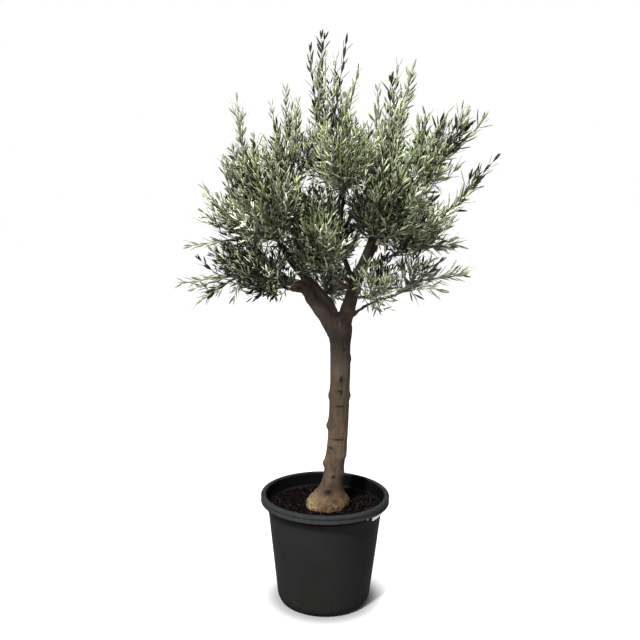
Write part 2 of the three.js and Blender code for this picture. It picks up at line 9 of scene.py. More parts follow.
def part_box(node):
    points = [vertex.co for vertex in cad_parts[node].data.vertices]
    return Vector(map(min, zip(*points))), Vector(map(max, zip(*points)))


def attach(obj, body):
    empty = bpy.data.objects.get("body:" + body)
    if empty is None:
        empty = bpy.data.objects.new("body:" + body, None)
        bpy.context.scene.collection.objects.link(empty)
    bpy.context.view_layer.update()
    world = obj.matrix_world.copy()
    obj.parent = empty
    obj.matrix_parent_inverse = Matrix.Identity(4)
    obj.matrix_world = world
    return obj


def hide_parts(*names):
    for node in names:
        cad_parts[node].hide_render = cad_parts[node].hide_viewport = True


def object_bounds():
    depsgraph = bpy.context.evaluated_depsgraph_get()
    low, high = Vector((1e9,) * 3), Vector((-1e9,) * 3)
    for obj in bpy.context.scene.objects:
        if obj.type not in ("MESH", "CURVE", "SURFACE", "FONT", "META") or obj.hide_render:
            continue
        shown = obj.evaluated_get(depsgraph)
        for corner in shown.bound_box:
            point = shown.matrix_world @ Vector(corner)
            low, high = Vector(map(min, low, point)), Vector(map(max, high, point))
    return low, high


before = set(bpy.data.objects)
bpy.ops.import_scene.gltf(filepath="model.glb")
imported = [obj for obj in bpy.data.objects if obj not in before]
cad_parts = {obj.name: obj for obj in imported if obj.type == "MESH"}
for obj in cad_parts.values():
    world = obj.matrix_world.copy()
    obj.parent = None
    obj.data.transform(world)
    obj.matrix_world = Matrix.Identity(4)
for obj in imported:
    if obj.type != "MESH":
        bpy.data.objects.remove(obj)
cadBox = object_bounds()
upward = Vector((0, 0, 1))


def operator(operation, swapped=False):
    def apply(self, other):
        a, b = (other, self) if swapped else (self, other)
        return self.net.maths(operation, a, b)
    return apply


# A node's output. Sums on it are written as Python and become Math or Vector Math nodes.
class Wire:
    def __init__(self, net, socket):
        self.net = net
        self.socket = socket

    def out(self, name):
        return Wire(self.net, self.socket.node.outputs[name])

    __add__, __radd__ = operator("ADD"), operator("ADD", swapped=True)
    __sub__, __rsub__ = operator("SUBTRACT"), operator("SUBTRACT", swapped=True)
    __mul__, __rmul__ = operator("MULTIPLY"), operator("MULTIPLY", swapped=True)
    __pow__ = operator("POWER")
    __lt__, __gt__ = operator("LESS_THAN"), operator("GREATER_THAN")


class Net:
    def __init__(self, tree):
        self.tree = tree

    # settings are set before the sockets, which go by name or by number
    def node(self, kind, settings=None, sockets=None, output=0):
        node = self.tree.nodes.new(kind)
        for name, value in (settings or {}).items():
            setattr(node, name, value)
        self.fill(node, sockets or {})
        return Wire(self, node.outputs[output]) if len(node.outputs) else None

    def fill(self, node, sockets):
        for key, value in sockets.items():
            socket = node.inputs[key]
            if isinstance(value, Wire):
                self.tree.links.new(value.socket, socket)
            elif socket.type == "RGBA":
                socket.default_value = (*value, 1)
            else:
                socket.default_value = value

    def maths(self, operation, a, b=0.0):
        def isWide(value):
            if isinstance(value, Wire):
                return value.socket.type in ("VECTOR", "RGBA")
            return isinstance(value, tuple)
        vectors = [isWide(a), isWide(b)]
        if not any(vectors):
            return self.node("ShaderNodeMath", {"operation": operation}, {0: a, 1: b})
        if operation == "MULTIPLY" and not all(vectors):
            vector, number = (a, b) if vectors[0] else (b, a)
            return self.node("ShaderNodeVectorMath", {"operation": "SCALE"}, {0: vector, "Scale": number})
        return self.node("ShaderNodeVectorMath", {"operation": operation}, {0: a, 1: b})

    def mix(self, factor, a, b):
        return self.node("ShaderNodeMix", {"data_type": "RGBA"}, {0: factor, 6: a, 7: b}, 2)

    def axis(self, vector, label):
        return self.node("ShaderNodeSeparateXYZ", {}, {0: vector}, label)

    # distance from the upright line through the origin
    def across(self, place):
        level = place * (1.0, 1.0, 0.0)
        return self.node("ShaderNodeVectorMath", {"operation": "LENGTH"}, {0: level}, "Value")

    def noise(self, vector, scale, detail=3.0, roughness=0.55):
        return self.node("ShaderNodeTexNoise", {},
                         {"Vector": vector, "Scale": scale, "Detail": detail, "Roughness": roughness})

    def smooth(self, value, low, high):
        return self.node("ShaderNodeMapRange", {"interpolation_type": "SMOOTHSTEP"},
                         {"Value": value, "From Min": low, "From Max": high})


# A material with its principled shader. fill(net, place) gives the values of the shader's sockets.
def makeFinish(name, fill):
    material = bpy.data.materials.new(name)
    material.use_nodes = True
    net = Net(material.node_tree)
    place = net.node("ShaderNodeTexCoord", {}, {}, "Object")
    net.fill(material.node_tree.nodes["Principled BSDF"], fill(net, place))
    return material


def bumped(net, height, strength, distance):
    return net.node("ShaderNodeBump", {}, {"Height": height, "Strength": strength, "Distance": distance})


# A Geometry Nodes tree with named inputs, which runs once on a mesh and leaves a plain mesh.
class Grower(Net):
    kinds = {float: "NodeSocketFloat", int: "NodeSocketInt", bpy.types.Object: "NodeSocketObject"}

    def __init__(self, name, values):
        super().__init__(bpy.data.node_groups.new(name, "GeometryNodeTree"))
        face = self.tree.interface
        face.new_socket("Geometry", in_out="INPUT", socket_type="NodeSocketGeometry")
        face.new_socket("Geometry", in_out="OUTPUT", socket_type="NodeSocketGeometry")
        self.values = values
        self.given = {}
        for label, value in values.items():
            kind = next(k for base, k in self.kinds.items() if isinstance(value, base))
            self.given[label] = face.new_socket(label, in_out="INPUT", socket_type=kind).identifier
        self.entry = self.node("NodeGroupInput")

    def input(self, label):
        return self.entry.out(label)

    def named(self, attribute):
        return self.node("GeometryNodeInputNamedAttribute", {"data_type": "FLOAT"}, {"Name": attribute})

    def random(self, low, high, seed):
        return self.node("FunctionNodeRandomValue", {"data_type": "FLOAT"},
                         {2: low, 3: high, "Seed": seed}, 1)

    def join(self, parts):
        joined = self.node("GeometryNodeJoinGeometry")
        for part in parts:
            self.tree.links.new(part.socket, joined.socket.node.inputs[0])
        return joined

    def finish(self, geometry):
        self.node("NodeGroupOutput", {}, {0: geometry})

    def run(self, source, name):
        modifier = source.modifiers.new("grow", "NODES")
        modifier.node_group = self.tree
        for label, value in self.values.items():
            modifier[self.given[label]] = value
        depsgraph = bpy.context.evaluated_depsgraph_get()
        mesh = bpy.data.meshes.new_from_object(source.evaluated_get(depsgraph))
        source.modifiers.remove(modifier)
        mesh.name = name
        return addObject(name, mesh)


def addObject(name, mesh):
    piece = bpy.data.objects.new(name, mesh)
    bpy.context.scene.collection.objects.link(piece)
    return piece


def meshFrom(name, points, faces, edges=()):
    mesh = bpy.data.meshes.new(name)
    mesh.from_pydata([tuple(p) for p in points], list(edges), list(faces))
    mesh.validate()
    return mesh


def smoothShade(piece):
    piece.data.polygons.foreach_set("use_smooth", [True] * len(piece.data.polygons))
    piece.data.update()


def faceOutwards(mesh, mergeWithin=0.0):
    bm = bmesh.new()
    bm.from_mesh(mesh)
    if mergeWithin:
        bmesh.ops.remove_doubles(bm, verts=bm.verts, dist=mergeWithin)
    bmesh.ops.recalc_face_normals(bm, faces=bm.faces)
    bm.to_mesh(mesh)
    bm.free()


# A finished piece goes with the one body and stands for its solids, which are hidden.
def settle(piece, nodes):
    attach(piece, "root")
    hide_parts(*nodes)


def makePiece(name, points, faces, finish):
    piece = addObject(name, meshFrom(name, points, faces))
    smoothShade(piece)
    piece.data.materials.append(finish)
    return piece


def lerp(a, b, share):
    return a + (b - a) * share


def smoothstep(value, low, high):
    share = min(max((value - low) / (high - low), 0), 1)
    return share * share * (3 - 2 * share)


# The curves are the ones that the solids have: here a uniform Catmull-Rom curve through a few points.
class PointCurve:
    def __init__(self, points):
        self.points = [Vector(p) for p in points]

    def at(self, t):
        pts = self.points
        last = len(pts) - 1
        span = min(int(t * last), last - 1)
        w = t * last - span
        p1, p2 = pts[span], pts[span + 1]
        p0 = pts[span - 1] if span > 0 else 2 * p1 - p2
        p3 = pts[span + 2] if span + 2 <= last else 2 * p2 - p1
        m1, m2 = (p2 - p0) / 2, (p3 - p1) / 2
        return p1 + m1 * w + (3 * (p2 - p1) - 2 * m1 - m2) * w * w + (2 * (p1 - p2) + m1 + m2) * w ** 3


# A quadratic Bezier curve.
class BentCurve:
    def __init__(self, start, bend, end):
        self.start, self.bend, self.end = Vector(start), Vector(bend), Vector(end)

    def at(self, t):
        return self.start * (1 - t) ** 2 + self.bend * 2 * t * (1 - t) + self.end * t * t


def alongAt(curve, t):
    low, high = max(t - 1e-4, 0), min(t + 1e-4, 1)
    return (curve.at(high) - curve.at(low)).normalized()


def risingCurve(start, end, habit):
    bend = start.lerp(end, habit["out"])
    bend.z = lerp(start.z, end.z, habit["up"])
    return BentCurve(start, bend, end)


def squareTo(direction, angle):
    level = Vector((1, 0, 0)) if abs(direction.z) > 0.95 else upward
    return Quaternion(direction, angle) @ direction.cross(level).normalized()


trunkSizes = {
    "line": [(0.3183, 0.008), (0.383, 0.020), (0.460, 0.029), (0.540, 0.037),
             (0.648, 0.040), (0.755, 0.042), (0.858, 0.041), (0.920, 0.035), (0.952, 0.030)],
    "radius": 0.0325,
    "flare": 0.030,
    "flareHeight": 0.050,
    "forkSwell": 0.009,
    "swellDrop": 0.100,   # the swelling begins so far under the top
    "dome": 0.035,        # height of the rounded top
    "domeShrink": 0.9,
    "buried": 0.006,      # the foot goes on into the loose soil
    "sides": 72,
    "steps": 240,
    "voxel": 0.0027,
    "boughSides": 20,
    "boughSteps": 60,
    "relief": 0.0011,     # height of the bark's ridges
    "lumps": 0.0042,      # height of the burl's lumps
    "lumpsUpTo": 0.030,
    "thinnedFrom": 0.98,  # finer relief on thinner wood
    "thinnedTo": 1.15,
    "thinnedBy": 0.55,
    "scarsUpTo": 0.93,
    "warpScale": 9,       # waves to a metre
    "ridgeScale": (95, 17),      # across the wood and along it
    "crackScale": (60, 9),
    "lumpScales": (75, 160),
    "swellScale": 14,
    "seed": 4.7,
}

# height, angle from the front towards +X, rise and reach
knots = [
    (0.335, -48, 0.015, 0.024), (0.353, -100, 0.009, 0.026), (0.333, 25, 0.008, 0.022),
    (0.339, 85, 0.010, 0.020), (0.337, 160, 0.009, 0.026), (0.378, 10, -0.005, 0.016),
    (0.434, 68, 0.006, 0.013), (0.467, -72, 0.009, 0.015), (0.493, 62, 0.005, 0.012),
    (0.590, -80, 0.008, 0.011), (0.690, -78, 0.006, 0.012), (0.690, 78, 0.006, 0.012),
    (0.747, -3, 0.004, 0.014), (0.810, 82, 0.004, 0.012), (0.625, 190, 0.007, 0.013),
    (0.875, -150, 0.006, 0.014),
]

# dark scars where twigs were cut away: height, angle, width, height of the mark, depth
scars = [
    (0.747, 8, 0.006, 0.010, 0.0050), (0.709, 2, 0.008, 0.004, 0.0028), (0.702, 10, 0.004, 0.006, 0.0030),
    (0.660, 3, 0.014, 0.003, 0.0018), (0.843, 30, 0.005, 0.005, 0.0022), (0.550, 0, 0.020, 0.003, 0.0016),
    (0.520, -38, 0.010, 0.004, 0.0020), (0.424, 5, 0.007, 0.005, 0.0025), (0.375, -8, 0.010, 0.006, 0.0035),
    (0.615, 170, 0.008, 0.006, 0.0030), (0.805, 200, 0.006, 0.008, 0.0035),
]

# name, radius at the foot and the tip, and the points of the middle line
boughs = [
    ("bough_left_outer", (0.026, 0.012),
     [(0.022, 0, 0.896), (-0.009, -0.008, 0.948), (-0.048, -0.014, 0.996), (-0.073, -0.020, 1.034),
      (-0.108, -0.024, 1.053), (-0.163, -0.030, 1.065)]),
    ("bough_left_upper", (0.020, 0.009),
     [(0.029, 0.010, 0.909), (0.003, 0.014, 0.980), (-0.036, 0.016, 1.024), (-0.065, 0.018, 1.061),
      (-0.085, 0.020, 1.105), (-0.095, 0.020, 1.159), (-0.098, 0.020, 1.215)]),
    ("bough_right", (0.026, 0.013),
     [(0.042, 0, 0.897), (0.063, 0, 0.970), (0.078, 0.002, 1.024), (0.093, 0.004, 1.075),
      (0.111, 0.006, 1.119), (0.131, 0.008, 1.173), (0.149, 0.010, 1.232)]),
    ("shoot_low_right", (0.006, 0.0045),
     [(0.064, -0.008, 0.936), (0.107, -0.014, 0.976), (0.153, -0.020, 1), (0.208, -0.028, 1.021)]),
]

trunkCurve = PointCurve([(x, 0, z) for z, x in trunkSizes["line"]])
limbs = {}


# A limb's curve, its wooden stretch and its radius along it.
def addLimb(name, curve, radii, start=0.0, end=1.0, owner=None):
    def radiusAt(t):
        return lerp(radii[0], radii[1], (t - start) / (end - start))
    limbs[name] = {"curve": curve, "start": start, "end": end, "radiusAt": radiusAt, "owner": owner}
    return limbs[name]


def onTrunk(z, angle, height, deg, width, tall):
    turn = angle - math.radians(deg)
    across = 2 * trunkSizes["radius"] * math.sin(turn / 2)
    return math.exp(-((z - height) / tall) ** 2 - (across / width) ** 2)


def trunkRadius(t, angle=0.0):
    sizes = trunkSizes
    z = trunkCurve.at(t).z
    foot, top = sizes["line"][0][0], sizes["line"][-1][0]
    radius = sizes["radius"] + sizes["flare"] * math.exp(-((z - foot) / sizes["flareHeight"]) ** 2)
    radius += sizes["forkSwell"] * smoothstep(z, top - sizes["swellDrop"], top - sizes["dome"])
    for height, deg, rise, reach in knots:
        radius += rise * onTrunk(z, angle, height, deg, reach, reach)
    dome = min(max((z - (top - sizes["dome"])) / sizes["dome"], 0), 1)
    return radius * math.sqrt(1 - sizes["domeShrink"] * dome ** 2)


limbs["trunk"] = {"curve": trunkCurve, "start": 0.0, "end": 1.0, "radiusAt": trunkRadius, "owner": None}
for boughName, boughRadii, boughLine in boughs:
    addLimb(boughName, PointCurve(boughLine), boughRadii)


# The spaces of the foliage: name, limb, place along it, middle and radii of the body, and tips with the
# half-width of their spindles.
masses = [
    ("low_left", "bough_left_outer", 1, (-0.268, -0.020, 1.122), (0.105, 0.115, 0.068),
     [(-0.476, -0.045, 1.043, 0.040), (-0.427, -0.045, 0.975, 0.024), (-0.297, -0.060, 0.995, 0.028)]),
    ("left", "bough_left_outer", 0.72, (-0.257, -0.010, 1.245), (0.105, 0.115, 0.130),
     [(-0.447, -0.025, 1.160, 0.040), (-0.436, -0.012, 1.261, 0.034), (-0.402, -0.005, 1.353, 0.032),
      (-0.343, 0, 1.442, 0.030)]),
    ("left_spike", "bough_left_upper", 0.7, (-0.262, 0.020, 1.382), (0.072, 0.100, 0.095),
     [(-0.293, 0.020, 1.628, 0.032), (-0.212, 0.010, 1.514, 0.026)]),
    ("low_front", "bough_left_outer", 0.55, (-0.195, -0.135, 1.105), (0.112, 0.105, 0.095),
     [(-0.255, -0.245, 1.096, 0.042), (-0.151, -0.130, 1.013, 0.034)]),
    ("front_left", "bough_left_upper", 0.45, (-0.171, -0.195, 1.290), (0.130, 0.125, 0.140),
     [(-0.214, -0.300, 1.438, 0.046), (-0.269, -0.295, 1.297, 0.042)]),
    ("back_left", "bough_left_upper", 0.62, (-0.205, 0.210, 1.279), (0.135, 0.130, 0.145),
     [(-0.277, 0.310, 1.455, 0.046), (-0.331, 0.290, 1.254, 0.044)]),
    ("top_left", "bough_left_upper", 1, (-0.142, 0.010, 1.410), (0.105, 0.105, 0.120),
     [(-0.189, 0.025, 1.612, 0.032), (-0.099, -0.008, 1.621, 0.026), (-0.139, 0.005, 1.658, 0.032)]),
    ("top", "bough_right", 0.42, (-0.022, 0.005, 1.454), (0.098, 0.098, 0.116),
     [(0.088, 0.015, 1.715, 0.034), (0.044, 0.005, 1.800, 0.034), (-0.035, 0, 1.816, 0.034),
      (-0.070, 0, 1.775, 0.030)]),
    ("top_front", "branch_top", 0.6, (0.045, -0.150, 1.435), (0.095, 0.095, 0.105),
     [(0.041, -0.185, 1.593, 0.034), (-0.026, -0.205, 1.549, 0.034)]),
    ("top_back", "branch_top", 0.75, (0.048, 0.150, 1.445), (0.095, 0.105, 0.115),
     [(0.027, 0.178, 1.680, 0.036), (-0.063, 0.195, 1.612, 0.036)]),
    ("top_right", "bough_right", 1, (0.165, 0.020, 1.440), (0.092, 0.100, 0.110),
     [(0.138, 0.008, 1.662, 0.030), (0.250, 0.025, 1.724, 0.028), (0.203, 0.015, 1.734, 0.040)]),
    ("right_up", "bough_right", 0.84, (0.290, 0.010, 1.422), (0.095, 0.095, 0.105),
     [(0.292, 0.005, 1.583, 0.038), (0.352, 0, 1.587, 0.040), (0.422, 0, 1.585, 0.040),
      (0.475, 0, 1.565, 0.044)]),
    ("right", "bough_right", 0.62, (0.262, 0, 1.225), (0.118, 0.115, 0.135),
     [(0.411, -0.020, 1.182, 0.046), (0.398, -0.010, 1.307, 0.040), (0.515, -0.010, 1.451, 0.054)]),
    ("low_right", "shoot_low_right", 1, (0.258, -0.030, 1.092), (0.098, 0.088, 0.076),
     [(0.279, -0.040, 1.011, 0.032), (0.352, -0.045, 1.038, 0.032), (0.431, -0.038, 1.091, 0.040)]),
    ("low_inner", "bough_right", 0.27, (0.160, -0.050, 1.066), (0.084, 0.080, 0.114),
     [(0.155, -0.050, 0.969, 0.034)]),
    ("front_right", "bough_right", 0.58, (0.167, -0.195, 1.316), (0.130, 0.120, 0.122),
     [(0.218, -0.300, 1.447, 0.046), (0.279, -0.290, 1.305, 0.042)]),
    ("front", "bough_right", 0.35, (-0.040, -0.180, 1.205), (0.110, 0.110, 0.125),
     [(-0.045, -0.310, 1.254, 0.044)]),
    ("back", "bough_right", 0.4, (-0.007, 0.185, 1.181), (0.135, 0.120, 0.130),
     [(-0.030, 0.310, 1.254, 0.046)]),
    ("back_right", "bough_right", 0.66, (0.173, 0.205, 1.291), (0.135, 0.130, 0.145),
     [(0.235, 0.305, 1.466, 0.046), (0.291, 0.285, 1.263, 0.044)]),
    ("heart", "bough_left_upper", 0.88, (-0.033, 0, 1.264), (0.130, 0.095, 0.092),
     []),
    ("between", "bough_left_upper", 0.3, (0.018, 0.092, 1.046), (0.075, 0.060, 0.116),
     []),
]
middles = np.array([mass[3] for mass in masses])
spans = np.array([mass[4] for mass in masses])
spindles = []
for massOrder, mass in enumerate(masses):
    for *massTip, massWidth in mass[5]:
        core, far = Vector(mass[3]), Vector(massTip)
        halfLength = (far - core).length / 2
        spindles.append((*core.lerp(far, 0.5), *(far - core).normalized(), halfLength, massWidth, massOrder))
spindles = np.array(spindles)
spindleOwners = spindles[:, 8].astype(int)

growth = {
    "firstSeed": 101,
    "seedStep": 37,
    "heartDrop": 0.3,
    "stemBend": 0.4,
    "stemShrink": 0.55,
    "branchRadii": (0.009, 0.0055),
    "shortestBranch": 0.2,
    "entryStep": 0.02,
    "gap": 0.0003,
    "shoots": 5,
    "fewestSides": 3,
    "firstShoot": 0.12,
    "firstLeader": 0.6,
    "lowestAim": -0.5,
    "turnSpread": 0.8,
    "reach": (0.84, 0.97),
    "leaderReach": 0.98,
    "margin": 0.02,
    # from here on finer than the solids
    "fineSeed": 7001,
    "fineShoots": 23,      # more side shoots on a stem, between the solids' own
    "fineLowestAim": -0.88,
    "fineHighestAim": 0.95,
    "fineReach": (0.62, 1.04),
    "fineDepths": (1.32, 1.10),  # the depth up to which twigs grow in mid-crown and at its rim
    "foot": (0.02, 0.0, 0.95),   # twigs turn away from here and upwards
    "fineLeaders": 2,      # thinner shoots beside each leader
    "fineLeaderReach": (0.60, 0.88),
    "boxInset": 0.006,     # kept by wood from the sides of the part's box, for the leaves
    "sweepUp": 0.5,        # how far a twig's tip turns upwards, and away from that foot
    "sweepAway": 0.7,
    "sweepBy": 0.95,
    "sweepRange": (0.4, 1.3),
    "lengthRange": (0.7, 1.2),
    "twigRoom": 0.006,
    "twigSteps": 5,
    "twigSides": 5,
    "shorter": (1.0, 0.75, 0.5),
    "steps": 8,            # stretches of a stem or shoot
    "twigsTo": 0.92,
    "sameTone": 0.45,      # share of the twigs that have their shoot's tone
}

# How a shoot rises and what stands on it. spray: the stretch up to its target that only leaves reach.
sideHabit = {
    "out": 0.55, "up": 0.25, "radii": (0.0034, 0.0013), "spray": 0.030, "bare": 0.40,
    "leafSize": 0.86, "leafSpread": 1.20,
    "twigEvery": 0.013, "twigsFrom": 0.10, "twigLength": (0.125, 0.055), "twigAngle": (0.95, 0.55),
    "twigRadii": (0.0016, 0.0008),
}
leaderHabit = {
    "out": 0.50, "up": 0.40, "radii": (0.0036, 0.0011), "spray": 0.020, "bare": 0.22,
    "leafSize": 1.10, "leafSpread": 1.05,
    "twigEvery": 0.062, "twigsFrom": 0.12, "twigLength": (0.095, 0.040), "twigAngle": (0.55, 0.38),
    "twigRadii": (0.0014, 0.0008),
}

# The crown as a whole, and what goes by place in it. A zone is seen from the front: the x and z of its
# middle, its half-width and half-height, and how strong it is.
crown = {
    "middle": (0.01, 0.0, 1.28),
    "radii": (0.44, 0.27, 0.36),
    "sunlit": (-0.10, 1.43, 0.19, 0.080, 1.0),
    "paler": (0.25, 1.06, 0.15, 0.090, 1.0),
    # the hollows deal out the near-black painted-shade tone more often
    "hollows": [(x, z, 0.08, 0.10, 2.0)
                for x, z in ((-0.135, 1.24), (-0.15, 1.34), (0.13, 1.25), (-0.26, 1.12), (-0.38, 1.10))],
    # growth is left out round these, so that the sky shows
    "airy": [(-0.02, 1.62, 0.15, 0.14, 0.66), (0.25, 1.05, 0.17, 0.11, 0.90), (-0.36, 1.26, 0.10, 0.16, 0.60),
             (0.34, 1.32, 0.15, 0.17, 0.62), (-0.21, 1.50, 0.08, 0.10, 0.35), (0.21, 1.60, 0.11, 0.11, 0.62),
             (0.38, 1.48, 0.13, 0.09, 0.50)],
    "leafGrowth": (-0.05, 0.34, 0.86, 1.14),   # from this x to that, leaves grow from this factor to that
}
goldenAngle = math.pi * (3 - math.sqrt(5))


lehmer = {"factor": 16807, "modulus": 2147483647}


# Lehmer's generator: the same draws on any machine.
def seeded(seed):
    state = [seed]

    def draw(low=0.0, high=1.0):
        state[0] = state[0] * lehmer["factor"] % lehmer["modulus"]
        return lerp(low, high, state[0] / lehmer["modulus"])
    return draw


# How deep a point lies in each mass: 0 in the middle of its body or of a spindle, 1 on the skin.
def depths(point):
    point = np.array(point)
    found = np.linalg.norm((point - middles) / spans, axis=1)
    offset = point - spindles[:, 0:3]
    along = (offset * spindles[:, 3:6]).sum(1)
    off = np.linalg.norm(offset - spindles[:, 3:6] * along[:, None], axis=1)
    np.minimum.at(found, spindleOwners, np.hypot(along / spindles[:, 6], off / spindles[:, 7]))
    return found


# How far out in the crown as a whole a point lies: 0 in its middle, about 1 at the rim.
def crownShare(point):
    return math.sqrt(sum(((x - middle) / radius) ** 2
                         for x, middle, radius in zip(point, crown["middle"], crown["radii"])))


# How much a zone of the crown counts at a place, seen from the front.
def zoneAt(place, zone):
    x, z, wide, high, strength = zone
    return strength * math.exp(-((place.x - x) / wide) ** 2 - ((place.z - z) / high) ** 2)


def owns(order, point):
    found = depths(point)
    own = found[order]
    found[order] = np.inf
    limit = lerp(*growth["fineDepths"], smoothstep(crownShare(point), 0.60, 0.95))
    return own < limit and found.min() > own + growth["margin"]


def inBox(point):
    inset = growth["boxInset"]
    return all(cadBox[0][k] + inset < point[k] < cadBox[1][k] - inset for k in range(3))


# Straight stretches of all the limbs, which twigs keep clear of.
def limbStretches():
    rows = []
    for name, limb in limbs.items():
        count = 16 if name == "trunk" else 8
        for i in range(count):
            t0, t1 = [lerp(limb["start"], limb["end"], k / count) for k in (i, i + 1)]
            radius = max(limb["radiusAt"](t0), limb["radiusAt"](t1))
            owner = -1 if limb["owner"] is None else limb["owner"]
            rows.append((*limb["curve"].at(t0), *limb["curve"].at(t1), radius, owner))
    return np.array(rows)


def isFree(order, stretches, points, room):
    if not all(inBox(point) and owns(order, point) for point in points):
        return False
    places = np.array(points)[:, None, :]
    start, end = stretches[None, :, 0:3], stretches[None, :, 3:6]
    along = end - start
    share = np.clip(((places - start) * along).sum(2) / (along ** 2).sum(2), 0, 1)
    distance = np.linalg.norm(places - start - along * share[:, :, None], axis=2)
    clear = (distance > stretches[:, 6] + room) | (stretches[:, 7] == order)
    return bool(clear.all())


def layOut(order):
    name, on, at, centre, span, _ = masses[order]
    limb = limbs[on]
    heart = Vector(centre)
    heart.z -= growth["heartDrop"] * span[2]
    if at == 1:
        tip = limb["curve"].at(limb["end"])
        ahead = alongAt(limb["curve"], limb["end"])
        root = tip + ahead * growth["gap"]
        bend = root + ahead * growth["stemBend"] * (heart - root).length
        radius = limb["radiusAt"](limb["end"])
        radii = (radius, radius * growth["stemShrink"])
        return addLimb("stem_" + name, BentCurve(root, bend, heart), radii, owner=order)
    curve = risingCurve(limb["curve"].at(lerp(limb["start"], limb["end"], at)), heart, sideHabit)
    entry = 1.0
    while entry > growth["shortestBranch"] and owns(order, curve.at(entry - growth["entryStep"])):
        entry -= growth["entryStep"]
    addLimb("branch_" + name, curve, growth["branchRadii"], end=entry)
    thin = growth["branchRadii"][1]
    return addLimb("stem_" + name, curve, (thin, thin * growth["stemShrink"]), start=entry, owner=order)


stems = [layOut(order) for order in range(len(masses))]
stretches = limbStretches()
print("limbs laid out:", len(limbs))


# A tube round a limb. The bark is such tubes on the trunk, the boughs and the branches, made one skin.
def tubeMesh(limb, sides, steps, level=False, below=0.0):
    curve, start, end = limb["curve"], limb["start"], limb["end"]
    reference = Vector((0, -1, 0)) if level else squareTo((curve.at(1) - curve.at(0)).normalized(), 0)
    points, faces = [], []
    for i in range(steps + 1):
        t = lerp(start, end, i / steps)
        centre, along = curve.at(t), alongAt(curve, t)
        normal = (reference - along * reference.dot(along)).normalized()
        side = along.cross(normal)
        if level:
            normal, side = reference, Vector((1, 0, 0))
        for k in range(sides):
            angle = 2 * math.pi * k / sides
            radius = limb["radiusAt"](t, angle) if level else limb["radiusAt"](t)
            points.append(centre + (normal * math.cos(angle) + side * math.sin(angle)) * radius)
    if below:
        for k in range(sides):
            points[k] = points[k] - upward * below
    for i in range(steps):
        for k in range(sides):
            a, b = i * sides + k, i * sides + (k + 1) % sides
            faces.append((a, b, b + sides, a + sides))
    faces.append(tuple(reversed(range(sides))))
    faces.append(tuple(range(steps * sides, (steps + 1) * sides)))
    return points, faces


def joinShapes(shapes):
    points, faces = [], []
    for shapePoints, shapeFaces in shapes:
        base = len(points)
        points += shapePoints
        faces += [tuple(base + i for i in face) for face in shapeFaces]
    return points, faces


def trunkAngle(point):
    foot, top = trunkSizes["line"][0][0], trunkSizes["line"][-1][0]
    share = np.clip((point.z - foot) / (top - foot), 0, 1)
    centre = trunkCurve.at(float(share))
    return math.atan2(point.x - centre.x, -(point.y - centre.y))


def makeBark():
    sizes = trunkSizes
    shapes = [tubeMesh(limbs["trunk"], sizes["sides"], sizes["steps"], True, sizes["buried"])]
    for name, limb in limbs.items():
        if name != "trunk" and limb["owner"] is None:
            shapes.append(tubeMesh(limb, sizes["boughSides"], sizes["boughSteps"]))
    bark = addObject("bark", meshFrom("bark", *joinShapes(shapes)))
    faceOutwards(bark.data)
    remesh = bark.modifiers.new("skin", "REMESH")
    remesh.mode = "VOXEL"
    remesh.voxel_size = sizes["voxel"]
    relax = bark.modifiers.new("relax", "SMOOTH")
    relax.factor, relax.iterations = 0.5, 5
    depsgraph = bpy.context.evaluated_depsgraph_get()
    mesh = bpy.data.meshes.new_from_object(bark.evaluated_get(depsgraph))
    bark.modifiers.clear()
    bark.data = mesh
    relieve(mesh)
    smoothShade(bark)
    bark.data.materials.clear()
    bark.data.materials.append(barkFinish)
    print("bark:", len(mesh.polygons), "faces")
    return bark


# Ridges, knots' rims, lumps of the burl and scars, moved along the normals. The depth of the hollows and
# the scars are kept as attributes for the finish, which paints shade into the hollows.
def relieve(mesh):
    sizes = trunkSizes
    soilLevel = sizes["line"][0][0]
    count = len(mesh.vertices)
    normals = np.zeros(count * 3, np.float32)
    mesh.vertices.foreach_get("normal", normals)
    normals = normals.reshape(-1, 3)
    hollows, marks = np.zeros(count, np.float32), np.zeros(count, np.float32)
    seed = Vector((sizes["seed"],) * 3)
    for i, vertex in enumerate(mesh.vertices):
        p = vertex.co.copy()
        foot = math.exp((soilLevel - p.z) / sizes["lumpsUpTo"])
        warp = noise.noise(p * sizes["warpScale"] + seed) * 0.6
        across, along = sizes["ridgeScale"]
        place = Vector((p.x * across + warp, p.y * across - warp, p.z * along))
        ridge = noise.fractal(place + seed, 0.8, 2.0, 3)
        across, along = sizes["crackScale"]
        place = Vector((p.x * across, p.y * across, p.z * along + warp * 3))
        crack = 1 - abs(noise.noise(place - seed)) * 4
        coarse, small = sizes["lumpScales"]
        lump = noise.noise(p * coarse - seed) + 0.5 * noise.noise(p * small + seed)
        swell = noise.noise(p * sizes["swellScale"] + seed * 2)
        rise = sizes["relief"] * (ridge * 1.2 - max(crack, 0) * 0.9 + 1.6 * swell)
        rise += foot * sizes["lumps"] * lump
        rise *= 1 - smoothstep(p.z, sizes["thinnedFrom"], sizes["thinnedTo"]) * sizes["thinnedBy"]
        mark = 0.0
        if p.z < sizes["scarsUpTo"]:
            angle = trunkAngle(p)
            for height, deg, width, tall, dent in scars:
                near = onTrunk(p.z, angle, height, deg, width, tall)
                ring = onTrunk(p.z, angle, height, deg, width * 1.9, tall * 1.9) - near
                rise += dent * (0.55 * ring - near)
                mark = max(mark, near)
        hollows[i] = np.clip(0.5 - rise / (sizes["relief"] * 5), 0, 1)
        marks[i] = mark
        vertex.co = p + Vector(normals[i]) * rise
    for name, values in (("hollow", hollows), ("scar", marks)):
        mesh.attributes.new(name, "FLOAT", "POINT").data.foreach_set("value", values)


def attribute(net, name):
    return net.node("ShaderNodeAttribute", {"attribute_name": name}, {}, "Fac")


